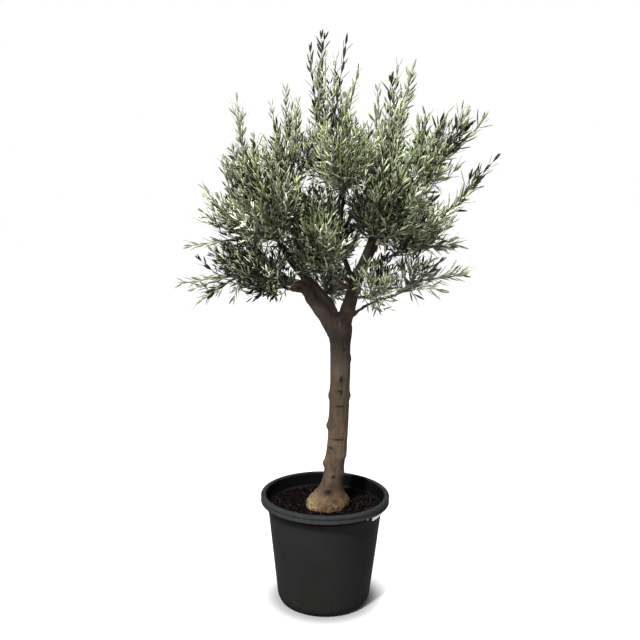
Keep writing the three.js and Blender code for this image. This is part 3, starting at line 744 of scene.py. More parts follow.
# Pairs are a darker and a paler tone that patches of the bark change between.
barkColors = {
    "stem": ((0.031, 0.0212, 0.0138), (0.064, 0.0450, 0.0292)),
    "shaded": ((0.0085, 0.0064, 0.0045), (0.0185, 0.0138, 0.0094)),
    "fork": ((0.025, 0.0170, 0.0122), (0.058, 0.0405, 0.0292)),
    "burl": ((0.036, 0.0225, 0.0105), (0.080, 0.0515, 0.0250)),
    # painted shade: the upper boughs near black where the crown shades them
    "bough": (0.0040, 0.0030, 0.0022),
    "burlPale": (0.200, 0.155, 0.080),
    # painted shade for the low parts of the bark's relief
    "crack": (0.008, 0.0058, 0.0044),
    "scar": (0.004, 0.003, 0.0025),
}

# heights between which one stretch of the bark turns into the next
barkHeights = {"shaded": (0.62, 0.86), "fork": (0.87, 0.95), "bough": (1.04, 1.12), "burl": (0.385, 0.345)}


def fillBark(net, place):
    patches = net.noise(place, 11.0, 3.0)
    streaks = net.noise(place * (1.0, 1.0, 0.22), 120.0, 4.0, 0.65)
    specks = net.noise(place, 420.0, 2.0, 0.7)
    pores = net.noise(place, 150.0, 3.0, 0.7)
    height, side = net.axis(place, "Z"), net.axis(place, "X")

    def patched(name, high=0.68):
        return net.mix(net.smooth(patches, 0.35, high), *barkColors[name])

    # above 1.04 m the boughs turn near black: painted shade under the crown
    fork = net.mix(net.smooth(height, *barkHeights["bough"]) * 0.90, patched("fork"), barkColors["bough"])
    stem = net.mix(net.smooth(height, *barkHeights["shaded"]), patched("stem"), patched("shaded"))
    upper = net.mix(net.smooth(height, *barkHeights["fork"]), stem, fork)
    pale = net.smooth(side + (pores - 0.5) * 0.05, -0.012, -0.040) * net.smooth(pores, 0.36, 0.60)
    burl = net.mix(pale * 0.75, patched("burl", 0.65), barkColors["burlPale"])
    low = net.smooth(height + (patches - 0.5) * 0.06, *barkHeights["burl"])
    base = net.mix(low, upper, burl)
    lit = net.mix(net.smooth(streaks, 0.38, 0.72) * 0.35, base, base * 1.6)
    pitted = net.mix(low * net.smooth(pores, 0.50, 0.36) * 0.7, lit, base * 0.35)
    grain = net.mix(net.smooth(specks, 0.55, 0.75) * 0.45, pitted, base * 0.5)
    # painted shade: the hollows of the relief darkened
    creviceShade = net.smooth(attribute(net, "hollow"), 0.55, 0.95)
    creviceShaded = net.mix(creviceShade * 0.45, grain, barkColors["crack"])
    color = net.mix(attribute(net, "scar") ** 0.7 * 0.95, creviceShaded, barkColors["scar"])
    return {"Base Color": color, "Roughness": 0.85 + (specks - 0.5) * 0.2, "Specular IOR Level": 0.10,
            "Normal": bumped(net, streaks * 0.7 + specks * 0.3, 0.55, 0.0016)}


barkFinish = makeFinish("barkFinish", fillBark)
bark = makeBark()


# Tones of the leaves: upper side and underside, plain colours that are dealt out by spray.
leafTones = {
    "sunny": ((0.158, 0.186, 0.072), (0.210, 0.232, 0.122)),
    "green": ((0.058, 0.074, 0.026), (0.136, 0.153, 0.086)),
    "silver": ((0.122, 0.140, 0.072), (0.238, 0.256, 0.162)),
    # painted shade: a near-black tone for the sprays inside the crown and in its hollows
    "paintedShade": ((0.004, 0.006, 0.002), (0.014, 0.018, 0.009)),
    "pale": ((0.380, 0.400, 0.280), (0.520, 0.535, 0.440)),
}


def leafFinish(name, color, gloss):
    def fill(net, place):
        patches = net.noise(place, 26.0, 2.0)
        grain = net.noise(place, 900.0, 2.0)
        paler = tuple(min(c * 1.4, 1) for c in color)
        darker = tuple(c * 0.65 for c in color)
        mixed = net.mix(net.smooth(patches, 0.3, 0.7), darker, paler)
        return {"Base Color": mixed, "Roughness": 0.42 + (grain - 0.5) * 0.2, "Specular IOR Level": gloss}
    return makeFinish(name, fill)


leafFinishes = []
for toneName, (upperColor, underColor) in leafTones.items():
    # the painted-shade tone is also less glossy, so that it shows no reflections
    upperGloss = 0.08 if toneName == "paintedShade" else 0.40
    leafFinishes.append(leafFinish("leaf_" + toneName, upperColor, upperGloss))
    leafFinishes.append(leafFinish("leafUnder_" + toneName, underColor, upperGloss / 2))


twigColors = {"brown": (0.026, 0.024, 0.016), "grey": (0.125, 0.118, 0.085)}


def fillTwig(net, place):
    patches = net.noise(place, 30.0, 3.0)
    grain = net.noise(place * (1.0, 1.0, 0.3), 600.0, 3.0)
    base = net.mix(net.smooth(patches, 0.35, 0.65), twigColors["brown"], twigColors["grey"])
    color = net.mix(net.smooth(grain, 0.45, 0.75) * 0.5, base, base * 0.55)
    return {"Base Color": color, "Roughness": 0.75 + (grain - 0.5) * 0.2,
            "Normal": bumped(net, grain, 0.3, 0.0006)}


twigFinish = makeFinish("twigFinish", fillTwig)

leafSizes = {
    "length": 0.043,
    "width": 0.0090,
    "thickness": 0.0005,
    "fold": 0.0011,        # how far the midrib lies under the edges
    "bends": (0.05, -0.03, 0.12),
    # share of the length and of the width
    "outline": [(0.12, 0.40), (0.48, 1.0), (0.82, 0.62)],
    "pairSpacing": 0.0205,
    "bareFoot": 0.16,
    "footAngle": 0.78,
    "tipAngle": 0.38,
    "rollSpread": 0.45,
    "leanSpread": 0.16,
    "twistSpread": 0.7,
    "scaleRange": (0.75, 1.15),
    "fullest": 0.55,       # share of the twig where the leaves are longest
    "taper": 0.25,
    "seed": 11,
}


# One leaf, a closed folded blade along +Z whose upper side looks to +Y.
def leafMesh(name, bend):
    sizes = leafSizes
    length, half, thick = sizes["length"], sizes["width"] / 2, sizes["thickness"] / 2

    def placed(x, y, share):
        return (x, y + bend * length * share * share, length * share)

    points = [placed(0, 0, 0)]
    faces = []
    for share, wide in sizes["outline"]:
        edge, dip = half * wide, sizes["fold"] * wide
        points += [placed(-edge, 0, share), placed(0, thick - dip, share),
                   placed(edge, 0, share), placed(0, -thick - dip, share)]
    points.append(placed(0, 0, 1))
    tip = len(points) - 1
    for k in range(4):
        faces.append((0, 1 + (k + 1) % 4, 1 + k))
        faces.append((tip, tip - 4 + k, tip - 4 + (k + 1) % 4))
    for ring in range(len(sizes["outline"]) - 1):
        for k in range(4):
            a, b = 1 + 4 * ring + k, 1 + 4 * ring + (k + 1) % 4
            faces.append((a, b, b + 4, a + 4))
    mesh = meshFrom(name, points, faces)
    faceOutwards(mesh)
    sides = mesh.attributes.new("underside", "FLOAT", "FACE")
    sides.data.foreach_set("value", [1.0 if face.normal.y < 0 else 0.0 for face in mesh.polygons])
    return mesh


# Leafy growth as a list of twigs, each with its points, radii and what goes for all its leaves: tone, the
# share of the twig that stays bare, size and spread.
class Twigs:
    labels = ("tone", "bare", "leafSize", "leafSpread")

    def __init__(self):
        self.lines = []

    def add(self, points, radii, habit, tone, bare):
        left, right, least, most = crown["leafGrowth"]
        size = habit["leafSize"] * lerp(least, most, smoothstep(points[-1][0], left, right))
        self.lines.append((points, radii, (tone, bare, size, habit["leafSpread"])))

    def mesh(self, name):
        points, edges, radius = [], [], []
        columns = [[] for _ in self.labels]
        for linePoints, lineRadii, lineValues in self.lines:
            base = len(points)
            last = len(linePoints) - 1
            points += linePoints
            edges += [(base + i, base + i + 1) for i in range(last)]
            radius += [lerp(*lineRadii, i / last) for i in range(last + 1)]
            for column, value in zip(columns, lineValues):
                column += [value] * (last + 1)
        mesh = meshFrom(name, points, [], edges)
        for label, values in zip(("radius", *self.labels), (radius, *columns)):
            mesh.attributes.new(label, "FLOAT", "POINT").data.foreach_set("value", values)
        return mesh


# The tone of a spray goes by its place in the crown: a near-black tone, painted shade, far inside and in the
# hollows, yellow-green where the light falls on it above the middle, pale low on the right, and greener at
# the edges.
def pickTone(draw, place):
    sunlit, paler = zoneAt(place, crown["sunlit"]), zoneAt(place, crown["paler"])
    inner = crownShare(place)
    hollow = 1 - smoothstep(inner, 0.30, 0.75)
    for zone in crown["hollows"]:
        hollow += zoneAt(place, zone)
    edge = smoothstep(inner, 0.95, 1.35)
    weights = {
        "sunny": 0.04 + 0.8 * sunlit,
        "green": 1.0 + 0.5 * edge,
        "silver": 0.55 + 1.6 * paler - 0.2 * edge,
        # painted shade: more near-black leaves inside, in the hollows and a little at the edges
        "paintedShade": (0.36 + 1.9 * hollow) * (1 - 0.7 * paler) + 0.2 * edge,
        "pale": 0.12 + 0.15 * sunlit + 2.6 * paler,
    }
    mark = draw() * sum(weights.values())
    for tone, weight in enumerate(weights.values()):     # in the order of leafTones
        mark -= weight
        if mark <= 0:
            return tone
    return 1


def growTwig(twigs, order, root, direction, length, habit, draw, tone):
    if draw() < max(zoneAt(root, zone) for zone in crown["airy"]):
        return
    away = (root - Vector(growth["foot"])).normalized()
    turn = upward * growth["sweepUp"] + away * growth["sweepAway"]
    sweep = turn * growth["sweepBy"] * draw(*growth["sweepRange"])
    for scale in growth["shorter"]:
        reach = length * scale
        final = root + (direction + sweep).normalized() * reach
        twig = BentCurve(root, root + direction * reach * 0.5, final)
        line = [twig.at(k / growth["twigSteps"]) for k in range(growth["twigSteps"] + 1)]
        if isFree(order, stretches, line[1:], growth["twigRoom"]):
            sprayTone = tone if draw() < growth["sameTone"] else pickTone(draw, final)
            twigs.add(line, habit["twigRadii"], habit, sprayTone, leafSizes["bareFoot"])
            return


# A shoot towards its target with twigs in a spiral along it. Gives back its points, or nothing.
def growShoot(twigs, order, start, target, habit, draw):
    tone = pickTone(draw, target)
    end = target.lerp(start, min(habit["spray"] / (target - start).length, 0.6))
    curve = risingCurve(start, end, habit)
    points = [curve.at(k / growth["steps"]) for k in range(growth["steps"] + 1)]
    if not isFree(order, stretches, points[1:], habit["radii"][0]):
        return None
    twigs.add(points, habit["radii"], habit, tone, habit["bare"])
    total = sum((b - a).length for a, b in zip(points, points[1:]))
    first, last = habit["twigsFrom"], growth["twigsTo"]
    count = int(total * (last - first) / habit["twigEvery"])
    turn = draw(0, 2 * math.pi)
    for k in range(count):
        share = lerp(first, last, (k + draw(0.2, 0.8)) / count)
        along = alongAt(curve, share)
        out = squareTo(along, turn + k * goldenAngle + draw(-0.3, 0.3))
        angle = lerp(*habit["twigAngle"], share) + draw(-0.15, 0.15)
        direction = along * math.cos(angle) + out * math.sin(angle)
        length = lerp(*habit["twigLength"], share) * draw(*growth["lengthRange"])
        growTwig(twigs, order, curve.at(share), direction, length, habit, draw, tone)
    return points


def growMass(twigs, order):
    _, _, _, centre, span, tips = masses[order]
    middle = Vector(centre)
    stem = stems[order]
    seed = growth["firstSeed"] + growth["seedStep"] * order
    random = seeded(seed)
    fine = seeded(growth["fineSeed"] + growth["seedStep"] * order)

    def onStem(first, share):
        return stem["curve"].at(lerp(stem["start"], stem["end"], lerp(first, 1, share)))

    def sideShoot(share, rise, azimuth, reach):
        level = math.sqrt(1 - rise * rise)
        aim = [math.cos(azimuth) * level, math.sin(azimuth) * level, rise]
        target = middle + Vector([part * radius for part, radius in zip(aim, span)]) * reach
        growShoot(twigs, order, onStem(growth["firstShoot"], share), target, sideHabit, fine)

    steps = growth["steps"]
    stemLine = [onStem(0, k / steps) for k in range(steps + 1)]
    twigs.add(stemLine, [stem["radiusAt"](stem[end]) for end in ("start", "end")], sideHabit, 1, 1.0)
    for k, (*tip, width) in enumerate(tips):
        far = Vector(tip)
        start = onStem(growth["firstLeader"], (k + 0.5) / len(tips))
        leader = growShoot(twigs, order, start, middle.lerp(far, growth["leaderReach"]), leaderHabit, fine)
        axis = (far - middle).normalized()
        for i in range(growth["fineLeaders"] if leader else 0):
            out = squareTo(axis, fine(0, 2 * math.pi)) * width * fine(0.3, 0.8)
            target = middle.lerp(far, fine(*growth["fineLeaderReach"])) + out
            growShoot(twigs, order, leader[2 + i], target, leaderHabit, fine)
    sides = max(growth["shoots"] - len(tips), growth["fewestSides"])
    for k in range(sides):
        share = (k + 0.5) / sides
        azimuth = k * goldenAngle + seed + random() * growth["turnSpread"]
        sideShoot(share, lerp(growth["lowestAim"], 1, share), azimuth, lerp(*growth["reach"], random()))
    for k in range(growth["fineShoots"]):
        share = (k + 1) / (growth["fineShoots"] + 1)
        azimuth = (k + 0.5) * goldenAngle + seed + fine() * growth["turnSpread"]
        rise = lerp(growth["fineLowestAim"], growth["fineHighestAim"], share)
        sideShoot(share, rise, azimuth, fine(*growth["fineReach"]))


def twigTree():
    tree = Grower("growTwigs", {"Sides": growth["twigSides"]})
    curve = tree.node("GeometryNodeMeshToCurve", {}, {"Mesh": tree.input("Geometry")})
    section = tree.node("GeometryNodeCurvePrimitiveCircle", {}, {
        "Resolution": tree.input("Sides"), "Radius": 1.0})
    tube = tree.node("GeometryNodeCurveToMesh", {}, {
        "Curve": curve, "Profile Curve": section, "Scale": tree.named("radius"), "Fill Caps": True})
    shaded = tree.node("GeometryNodeSetShadeSmooth", {}, {"Geometry": tube})
    plain = tree.node("GeometryNodeRealizeInstances", {}, {"Geometry": shaded})
    tree.finish(tree.node("GeometryNodeSetMaterial", {}, {"Geometry": plain, "Material": twigFinish}))
    return tree


def cross(tree, a, b):
    return tree.node("ShaderNodeVectorMath", {"operation": "CROSS_PRODUCT"}, {0: a, 1: b})


def turned(tree, angle):
    return [tree.node("ShaderNodeMath", {"operation": kind}, {0: angle}) for kind in ("COSINE", "SINE")]


# Leaves in opposite pairs, each pair square to the last, on the leafy stretch of every twig.
def leafTree(forms):
    sizes = leafSizes
    tree = Grower("growLeaves", {"Pair Spacing": sizes["pairSpacing"], "Foot Angle": sizes["footAngle"],
                                 "Tip Angle": sizes["tipAngle"], "Seed": sizes["seed"]})
    curve = tree.node("GeometryNodeMeshToCurve", {}, {"Mesh": tree.input("Geometry")})
    spaced = tree.node("GeometryNodeResampleCurve", {"mode": "LENGTH"}, {
        "Curve": curve, "Length": tree.input("Pair Spacing")})
    share = tree.node("GeometryNodeSplineParameter")
    count = share.out("Index")
    tangent = tree.node("GeometryNodeInputTangent")
    normal = tree.node("GeometryNodeInputNormal")
    side = cross(tree, tangent, normal)
    seed = tree.input("Seed")
    foot, tip = tree.input("Foot Angle"), tree.input("Tip Angle")
    parts = []
    for k, form in enumerate(forms + forms):
        half = k // len(forms)     # the leaf of the pair that stands on the other side
        pick = tree.random(0.0, len(forms) * 1.0, seed + half * 7.0)
        chosen = (pick > float(k % len(forms))) * (pick < float(k % len(forms) + 1))
        leafy = (share > tree.named("bare")) * chosen

        def spread(most, offset):
            return tree.random(-most, most, seed + offset + k)

        roll = count * (math.pi / 2) + half * math.pi + spread(sizes["rollSpread"], 1.0)
        rollCos, rollSin = turned(tree, roll)
        out = normal * rollCos + side * rollSin
        lean = (foot + (tip - foot) * share ** 1.5) * tree.named("leafSpread")
        leanCos, leanSin = turned(tree, lean + spread(sizes["leanSpread"], 13.0))
        direction = tangent * leanCos + out * leanSin
        face = tangent * leanSin - out * leanCos
        twistCos, twistSin = turned(tree, spread(sizes["twistSpread"], 29.0))
        turnedFace = face * twistCos + cross(tree, direction, face) * twistSin
        rotation = tree.node("FunctionNodeAxesToRotation", {"primary_axis": "Z", "secondary_axis": "Y"},
                             {0: direction, 1: turnedFace})
        swell = 1.0 - (share * 2.0 - 2 * sizes["fullest"]) ** 2.0 * sizes["taper"]
        scale = swell * tree.named("leafSize") * tree.random(*sizes["scaleRange"], seed + 41.0 + k)
        part = tree.node("GeometryNodeObjectInfo", {}, {"Object": form}, "Geometry")
        parts.append(tree.node("GeometryNodeInstanceOnPoints", {}, {
            "Points": spaced, "Selection": leafy, "Instance": part, "Rotation": rotation, "Scale": scale}))
    leaves = tree.node("GeometryNodeRealizeInstances", {}, {"Geometry": tree.join(parts)})
    tone, underside = tree.named("tone"), tree.named("underside")
    for k, material in enumerate(leafFinishes):
        mine = (tone * 2.0 + underside - float(k)) ** 2.0 < 0.1
        leaves = tree.node("GeometryNodeSetMaterial", {}, {
            "Geometry": leaves, "Selection": mine, "Material": material})
    tree.finish(leaves)
    return tree


crownParts = {
    "left": ["low_left", "left", "left_spike", "low_front", "front_left", "back_left"],
    "top": ["top_left", "top", "top_front", "top_back", "heart", "between"],
    "right": ["top_right", "right_up", "right", "low_right", "low_inner", "front_right"],
    "back": ["front", "back", "back_right"],
}


def makeCrown():
    forms = []
    for k, bend in enumerate(leafSizes["bends"]):
        forms.append(addObject(f"leafForm{k}", leafMesh(f"leafForm{k}", bend)))
    growTwigs, growLeaves = twigTree(), leafTree(forms)
    names = [mass[0] for mass in masses]
    for part, members in crownParts.items():
        twigs = Twigs()
        for member in members:
            growMass(twigs, names.index(member))
        source = addObject("twigLines", twigs.mesh("twigLines"))
        wood = growTwigs.run(source, f"twigs_{part}")
        leaves = growLeaves.run(source, f"leaves_{part}")
        bpy.data.objects.remove(source)
        smoothShade(leaves)
        for piece, slot in ((wood, "bark"), (leaves, "foliage")):
            for label in ("radius", "underside", *Twigs.labels):
                if label in piece.data.attributes:
                    piece.data.attributes.remove(piece.data.attributes[label])
            settle(piece, [f"foliage_{member}" for member in members])
        faces = [sum(len(face.vertices) - 2 for face in piece.data.polygons) for piece in (wood, leaves)]
        print(f"crown {part}: {len(twigs.lines)} twigs, {faces[1] // 24} leaves, triangles {faces}")
    for form in forms:
        bpy.data.objects.remove(form)


makeCrown()
woodNodes = [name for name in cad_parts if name.startswith(("trunk", "bough_", "branch_", "shoot_"))]
settle(bark, woodNodes)


potSizes = {
    "height": 0.362,
    "rimRadius": 0.210,
    "lipWidth": 0.018,
    "bandHeight": 0.026,
    "wallTop": 0.190,
    "wallFoot": 0.156,
    "corner": 0.040,
    "footRadius": 0.133,
    "ledgeDrop": 0.033,
    "ledgeDepth": 0.0016,
    "wall": 0.004,
    "segments": 192,
    "bead": 0.0065,        # radius of the roll at the rim's top edge
    "lowBead": 0.0035,     # and of the one at the band's foot
    "hollow": 0.0026,      # how far the band lies behind the rolls
    "floor": 0.007,        # top of the pot's own floor
    "recess": 0.004,       # how far the underside is hollowed, up to this radius
    "recessRadius": 0.095,
    "standRadius": 0.106,
}


def wallRadius(z):
    p = potSizes
    bandFoot = p["height"] - p["bandHeight"]
    share = (z - p["corner"]) / (bandFoot - p["corner"])
    step = p["ledgeDepth"] * smoothstep(bandFoot - p["ledgeDrop"] - z, -0.002, 0.002)
    return lerp(p["wallFoot"], p["wallTop"], share) - step


def arc(centre, radius, startDeg, endDeg, steps):
    angles = [math.radians(lerp(startDeg, endDeg, k / steps)) for k in range(steps + 1)]
    return [(centre[0] + radius * math.cos(a), centre[1] + radius * math.sin(a)) for a in angles]


def bezier(a, b, c, steps):
    curve = BentCurve((*a, 0), (*b, 0), (*c, 0))
    return [tuple(curve.at(k / steps))[:2] for k in range(steps + 1)]


def potProfile():
    p = potSizes
    top, corner, bead, lowBead = p["height"], p["corner"], p["bead"], p["lowBead"]
    bandFoot = top - p["bandHeight"]
    outer, inner = p["rimRadius"], p["rimRadius"] - p["lipWidth"]
    neck = wallRadius(bandFoot)
    recess, stand = p["recessRadius"], p["standRadius"]
    profile = [(0, p["recess"]), (recess, p["recess"]), (recess + 0.007, 0.0005), (stand, 0)]
    profile += bezier((p["footRadius"], 0), (p["wallFoot"] - 0.003, 0.003), (wallRadius(corner), corner), 10)
    heights = [lerp(corner, bandFoot - 0.004, k / 44) for k in range(1, 45)]
    profile += [(wallRadius(z), z) for z in heights]
    profile += bezier((neck - 0.0005, bandFoot - 0.001), (neck, bandFoot + 0.003),
                      (neck + 0.006, bandFoot + 0.003), 4)
    profile += [(outer - 2 * lowBead, bandFoot + 0.002)]
    profile += arc((outer - lowBead, bandFoot + lowBead), lowBead, -90, 60, 6)
    middle = (bandFoot + top) / 2
    profile += bezier((outer - 0.0018, bandFoot + 0.0075), (outer - 0.0018 - p["hollow"], middle),
                      (outer - 0.0016, top - 0.0105), 6)
    profile += arc((outer - bead, top - bead), bead, -25, 95, 9)
    profile += arc((inner + bead, top - bead), bead, 100, 180, 8)
    profile += bezier((inner, top - 0.012), (inner, top - 0.024),
                      (neck - p["wall"], bandFoot - 0.010), 5)
    profile += [(wallRadius(z) - p["wall"], z) for z in (0.312, 0.27, 0.20, 0.12, 0.06, corner)]
    profile += [(p["footRadius"] - 0.002, p["floor"]), (0, p["floor"])]
    return profile


def spin(profile, segments):
    points, faces = [], []
    rings = []
    for radius, z in profile:
        if radius == 0:
            rings.append([len(points)])
            points.append((0, 0, z))
        else:
            rings.append(range(len(points), len(points) + segments))
            for k in range(segments):
                angle = 2 * math.pi * k / segments
                points.append((radius * math.sin(angle), -radius * math.cos(angle), z))
    for low, high in zip(rings, rings[1:]):
        for k in range(segments):
            n = (k + 1) % segments
            if len(low) == 1:
                faces.append((low[0], high[n], high[k]))
            elif len(high) == 1:
                faces.append((low[k], low[n], high[0]))
            else:
                faces.append((low[k], low[n], high[n], high[k]))
    return points, faces


potColors = {
    "plastic": ((0.0086, 0.0086, 0.0083), (0.0104, 0.0104, 0.0101)),
    # partly painted highlight, partly dust: the lighter top of the rim
    "rim": (0.024, 0.027, 0.028),
    "dust": (0.024, 0.022, 0.019),
    "scuff": (0.018, 0.018, 0.0175),
    # painted shade: near black for the wall inside the pot and under the band
    "inside": (0.0012, 0.0012, 0.0012),
}


def fillPot(net, place):
    height = net.axis(place, "Z")
    clouds = net.noise(place, 7.0, 4.0, 0.6)
    dust = net.noise(place * (1.0, 1.0, 0.5), 90.0, 4.0, 0.7)
    scuffs = net.noise(place * (1.0, 1.0, 3.5), 55.0, 5.0, 0.75)
    grain = net.noise(place, 1500.0, 2.0)
    base = net.mix(net.smooth(clouds, 0.3, 0.7), *potColors["plastic"])
    # the rim's top is lighter: a painted highlight, mottled by dust
    rim = net.smooth(height, 0.330, 0.338)
    rimSheenAndDust = net.mix(rim * (0.45 + (dust - 0.5) * 0.9), base, potColors["rim"])
    low = net.smooth(height, 0.10, 0.0) * net.smooth(dust, 0.45, 0.75)
    dusty = net.mix(low * 0.35, rimSheenAndDust, potColors["dust"])
    scuffed = net.mix(net.smooth(scuffs, 0.66, 0.80) * 0.30, dusty, potColors["scuff"])
    # painted shade: the wall inside above the soil and the outer wall under the band
    insideShadeMask = net.smooth(net.across(place), 0.198, 0.191) * net.smooth(height, 0.318, 0.326)
    color = net.mix(insideShadeMask * 0.95, scuffed, potColors["inside"])
    return {"Base Color": color, "Roughness": 0.60 + (dust - 0.5) * 0.25 + rim * 0.05,
            "Specular IOR Level": 0.01, "Normal": bumped(net, grain * 0.6 + clouds * 0.4, 0.12, 0.0008)}


def makePot():
    pot = makePiece("potShell", *spin(potProfile(), potSizes["segments"]), makeFinish("potFinish", fillPot))
    faceOutwards(pot.data, mergeWithin=1e-6)
    settle(pot, ["pot"])
    print("pot:", len(pot.data.polygons), "faces")


makePot()


soilSizes = {
    "top": 0.318,
    "under": 0.012,
    "rings": 46,
    "segments": 150,
    "lumps": 0.0032,
    "chips": 26000.0,      # to a square metre
    "seed": 5,
}


soilColors = {
    "earth": ((0.0003, 0.0002, 0.00018), (0.0010, 0.0006, 0.0005)),
    "fibre": (0.005, 0.0028, 0.0022),
}

# size, seed of the shape, share of all the chips, and its two colours
chipKinds = {
    "crumb": ((0.007, 0.006, 0.005), 1.3, 0.50, (0.0004, 0.0003, 0.0002), (0.0014, 0.0009, 0.0007)),
    "flake": ((0.016, 0.0055, 0.0025), 4.1, 0.34, (0.0022, 0.0012, 0.0009), (0.0080, 0.0040, 0.0030)),
    "speck": ((0.0042, 0.0036, 0.0032), 7.7, 0.16, (0.0100, 0.0090, 0.0080), (0.0600, 0.0540, 0.0470)),
}


def soilHeight(x, y):
    place = Vector((x, y, 0))
    lumps = noise.noise(place * 22) + 0.6 * noise.noise(place * 60) + 0.4 * noise.noise(place * 140)
    mound = 0.004 * math.exp(-(math.hypot(x - 0.004, y + 0.004) / 0.085) ** 2)
    return soilSizes["top"] + soilSizes["lumps"] * lumps + mound


def fillSoil(net, place):
    lumps = net.noise(place, 60.0, 5.0, 0.7)
    fibres = net.noise(place, 260.0, 4.0, 0.7)
    base = net.mix(net.smooth(lumps, 0.35, 0.7), *soilColors["earth"])
    color = net.mix(net.smooth(fibres, 0.62, 0.76) * 0.7, base, soilColors["fibre"])
    return {"Base Color": color, "Roughness": 0.93 + (lumps - 0.5) * 0.1, "Specular IOR Level": 0.02,
            "Normal": bumped(net, fibres * 0.5 + lumps, 0.8, 0.003)}


def chipFinish(name, dark, light):
    def fill(net, place):
        grain = net.noise(place, 300.0, 3.0)
        patches = net.noise(place, 45.0, 2.0)
        color = net.mix(net.smooth(grain * 0.5 + patches * 0.5, 0.4, 0.6), dark, light)
        return {"Base Color": color, "Roughness": 0.85 + (grain - 0.5) * 0.2, "Specular IOR Level": 0.05,
                "Normal": bumped(net, grain, 0.4, 0.0008)}
    return makeFinish(name, fill)


# A small uneven lump: a stretched, jagged icosphere.
def chipForm(name, size, seed):
    bm = bmesh.new()
    bmesh.ops.create_icosphere(bm, subdivisions=1, radius=1)
    for vertex in bm.verts:
        vertex.co *= 1 + 0.45 * noise.noise(vertex.co * 1.7 + Vector((seed, seed, seed)))
        vertex.co = Vector(size) * 0.5 * vertex.co
    mesh = bpy.data.meshes.new(name)
    bm.to_mesh(mesh)
    bm.free()
    return addObject(name, mesh)


def chipTree(kinds):
    tree = Grower("scatterChips", {"Per Square Metre": soilSizes["chips"], "Seed": soilSizes["seed"]})
    up = tree.node("GeometryNodeInputNormal", {}, {}, "Normal")
    height = tree.axis(up, "Z")
    seed = tree.input("Seed")
    parts = []
    for k, (form, share, material) in enumerate(kinds):
        points = tree.node("GeometryNodeDistributePointsOnFaces", {}, {
            "Mesh": tree.input("Geometry"), "Selection": height > 0.3,
            "Density": tree.input("Per Square Metre") * share, "Seed": seed + float(k)})
        turn = tree.node("FunctionNodeRandomValue", {"data_type": "FLOAT_VECTOR"},
                         {0: (-0.5, -0.5, 0), 1: (0.5, 0.5, 6.283), "Seed": seed + 10.0 + k})
        chip = tree.node("GeometryNodeObjectInfo", {}, {"Object": form}, "Geometry")
        laid = tree.node("GeometryNodeInstanceOnPoints", {}, {
            "Points": points, "Instance": chip,
            "Rotation": tree.node("FunctionNodeEulerToRotation", {}, {0: turn}),
            "Scale": tree.random(0.45, 1.25, seed + 20.0 + k)})
        real = tree.node("GeometryNodeRealizeInstances", {}, {"Geometry": laid})
        parts.append(tree.node("GeometryNodeSetMaterial", {}, {"Geometry": real, "Material": material}))
    tree.finish(tree.join(parts))
    return tree


def makeSoil():
    sizes = soilSizes
    edge = wallRadius(sizes["top"]) - potSizes["wall"] - 0.0004
    points, faces = [(0, 0, soilHeight(0, 0))], []
    for ring in range(1, sizes["rings"] + 1):
        radius = edge * ring / sizes["rings"]
        for k in range(sizes["segments"]):
            angle = 2 * math.pi * k / sizes["segments"]
            x, y = radius * math.cos(angle), radius * math.sin(angle)
            points.append((x, y, soilHeight(x, y)))
    n = sizes["segments"]
    lowest = len(points)
    points += [(p[0], p[1], sizes["top"] - sizes["under"]) for p in points[-n:]]
    points.append((0, 0, sizes["top"] - sizes["under"]))
    for k in range(n):
        m = (k + 1) % n
        faces.append((0, 1 + k, 1 + m))
        for ring in range(sizes["rings"] - 1):
            a, b = 1 + ring * n + k, 1 + ring * n + m
            faces.append((a, a + n, b + n, b))
        outer = 1 + (sizes["rings"] - 1) * n
        faces.append((outer + k, lowest + k, lowest + m, outer + m))
        faces.append((lowest + n, lowest + m, lowest + k))
    soil = makePiece("soilTop", points, faces, makeFinish("soilFinish", fillSoil))
    kinds = []
    for name, (size, seed, share, dark, light) in chipKinds.items():
        kinds.append((chipForm(name, size, seed), share, chipFinish(name + "Finish", dark, light)))
    chips = chipTree(kinds).run(soil, "soilChips")
    for form, _, _ in kinds:
        bpy.data.objects.remove(form)
    for piece in (soil, chips):
        settle(piece, ["soil"])
    print("soil chips:", len(chips.data.polygons), "faces")


makeSoil()


labelSizes = {
    "lift": 0.0006,
    "thickness": 0.0009,
    "corner": 0.003,
    "halfWidth": 0.030,
    "curl": 0.028,         # how far the loose end stands off, with the square of the way past its hinge
    "curlFrom": 0.75,
    "lean": 0.12,          # the wall's taper
    "across": 28,
    "tall": 8,
    "stud": (0.0035, 0.0035, 0.0017),
}


labelColors = {
    "plate": ((0.42, 0.42, 0.41), (0.30, 0.30, 0.285)),
    "stud": ((0.74, 0.74, 0.72), (0.58, 0.58, 0.55)),
}


def fillLabel(net, place):
    stains = net.noise(place, 70.0, 4.0, 0.6)
    grain = net.noise(place, 900.0, 2.0)
    color = net.mix(net.smooth(stains, 0.4, 0.7), *labelColors["plate"])
    return {"Base Color": color, "Roughness": 0.5 + (grain - 0.5) * 0.3,
            "Normal": bumped(net, grain, 0.1, 0.0004)}


def fillStud(net, place):
    stains = net.noise(place, 300.0, 3.0)
    color = net.mix(net.smooth(stains, 0.4, 0.7), *labelColors["stud"])
    return {"Base Color": color, "Roughness": 0.4 + (stains - 0.5) * 0.2}


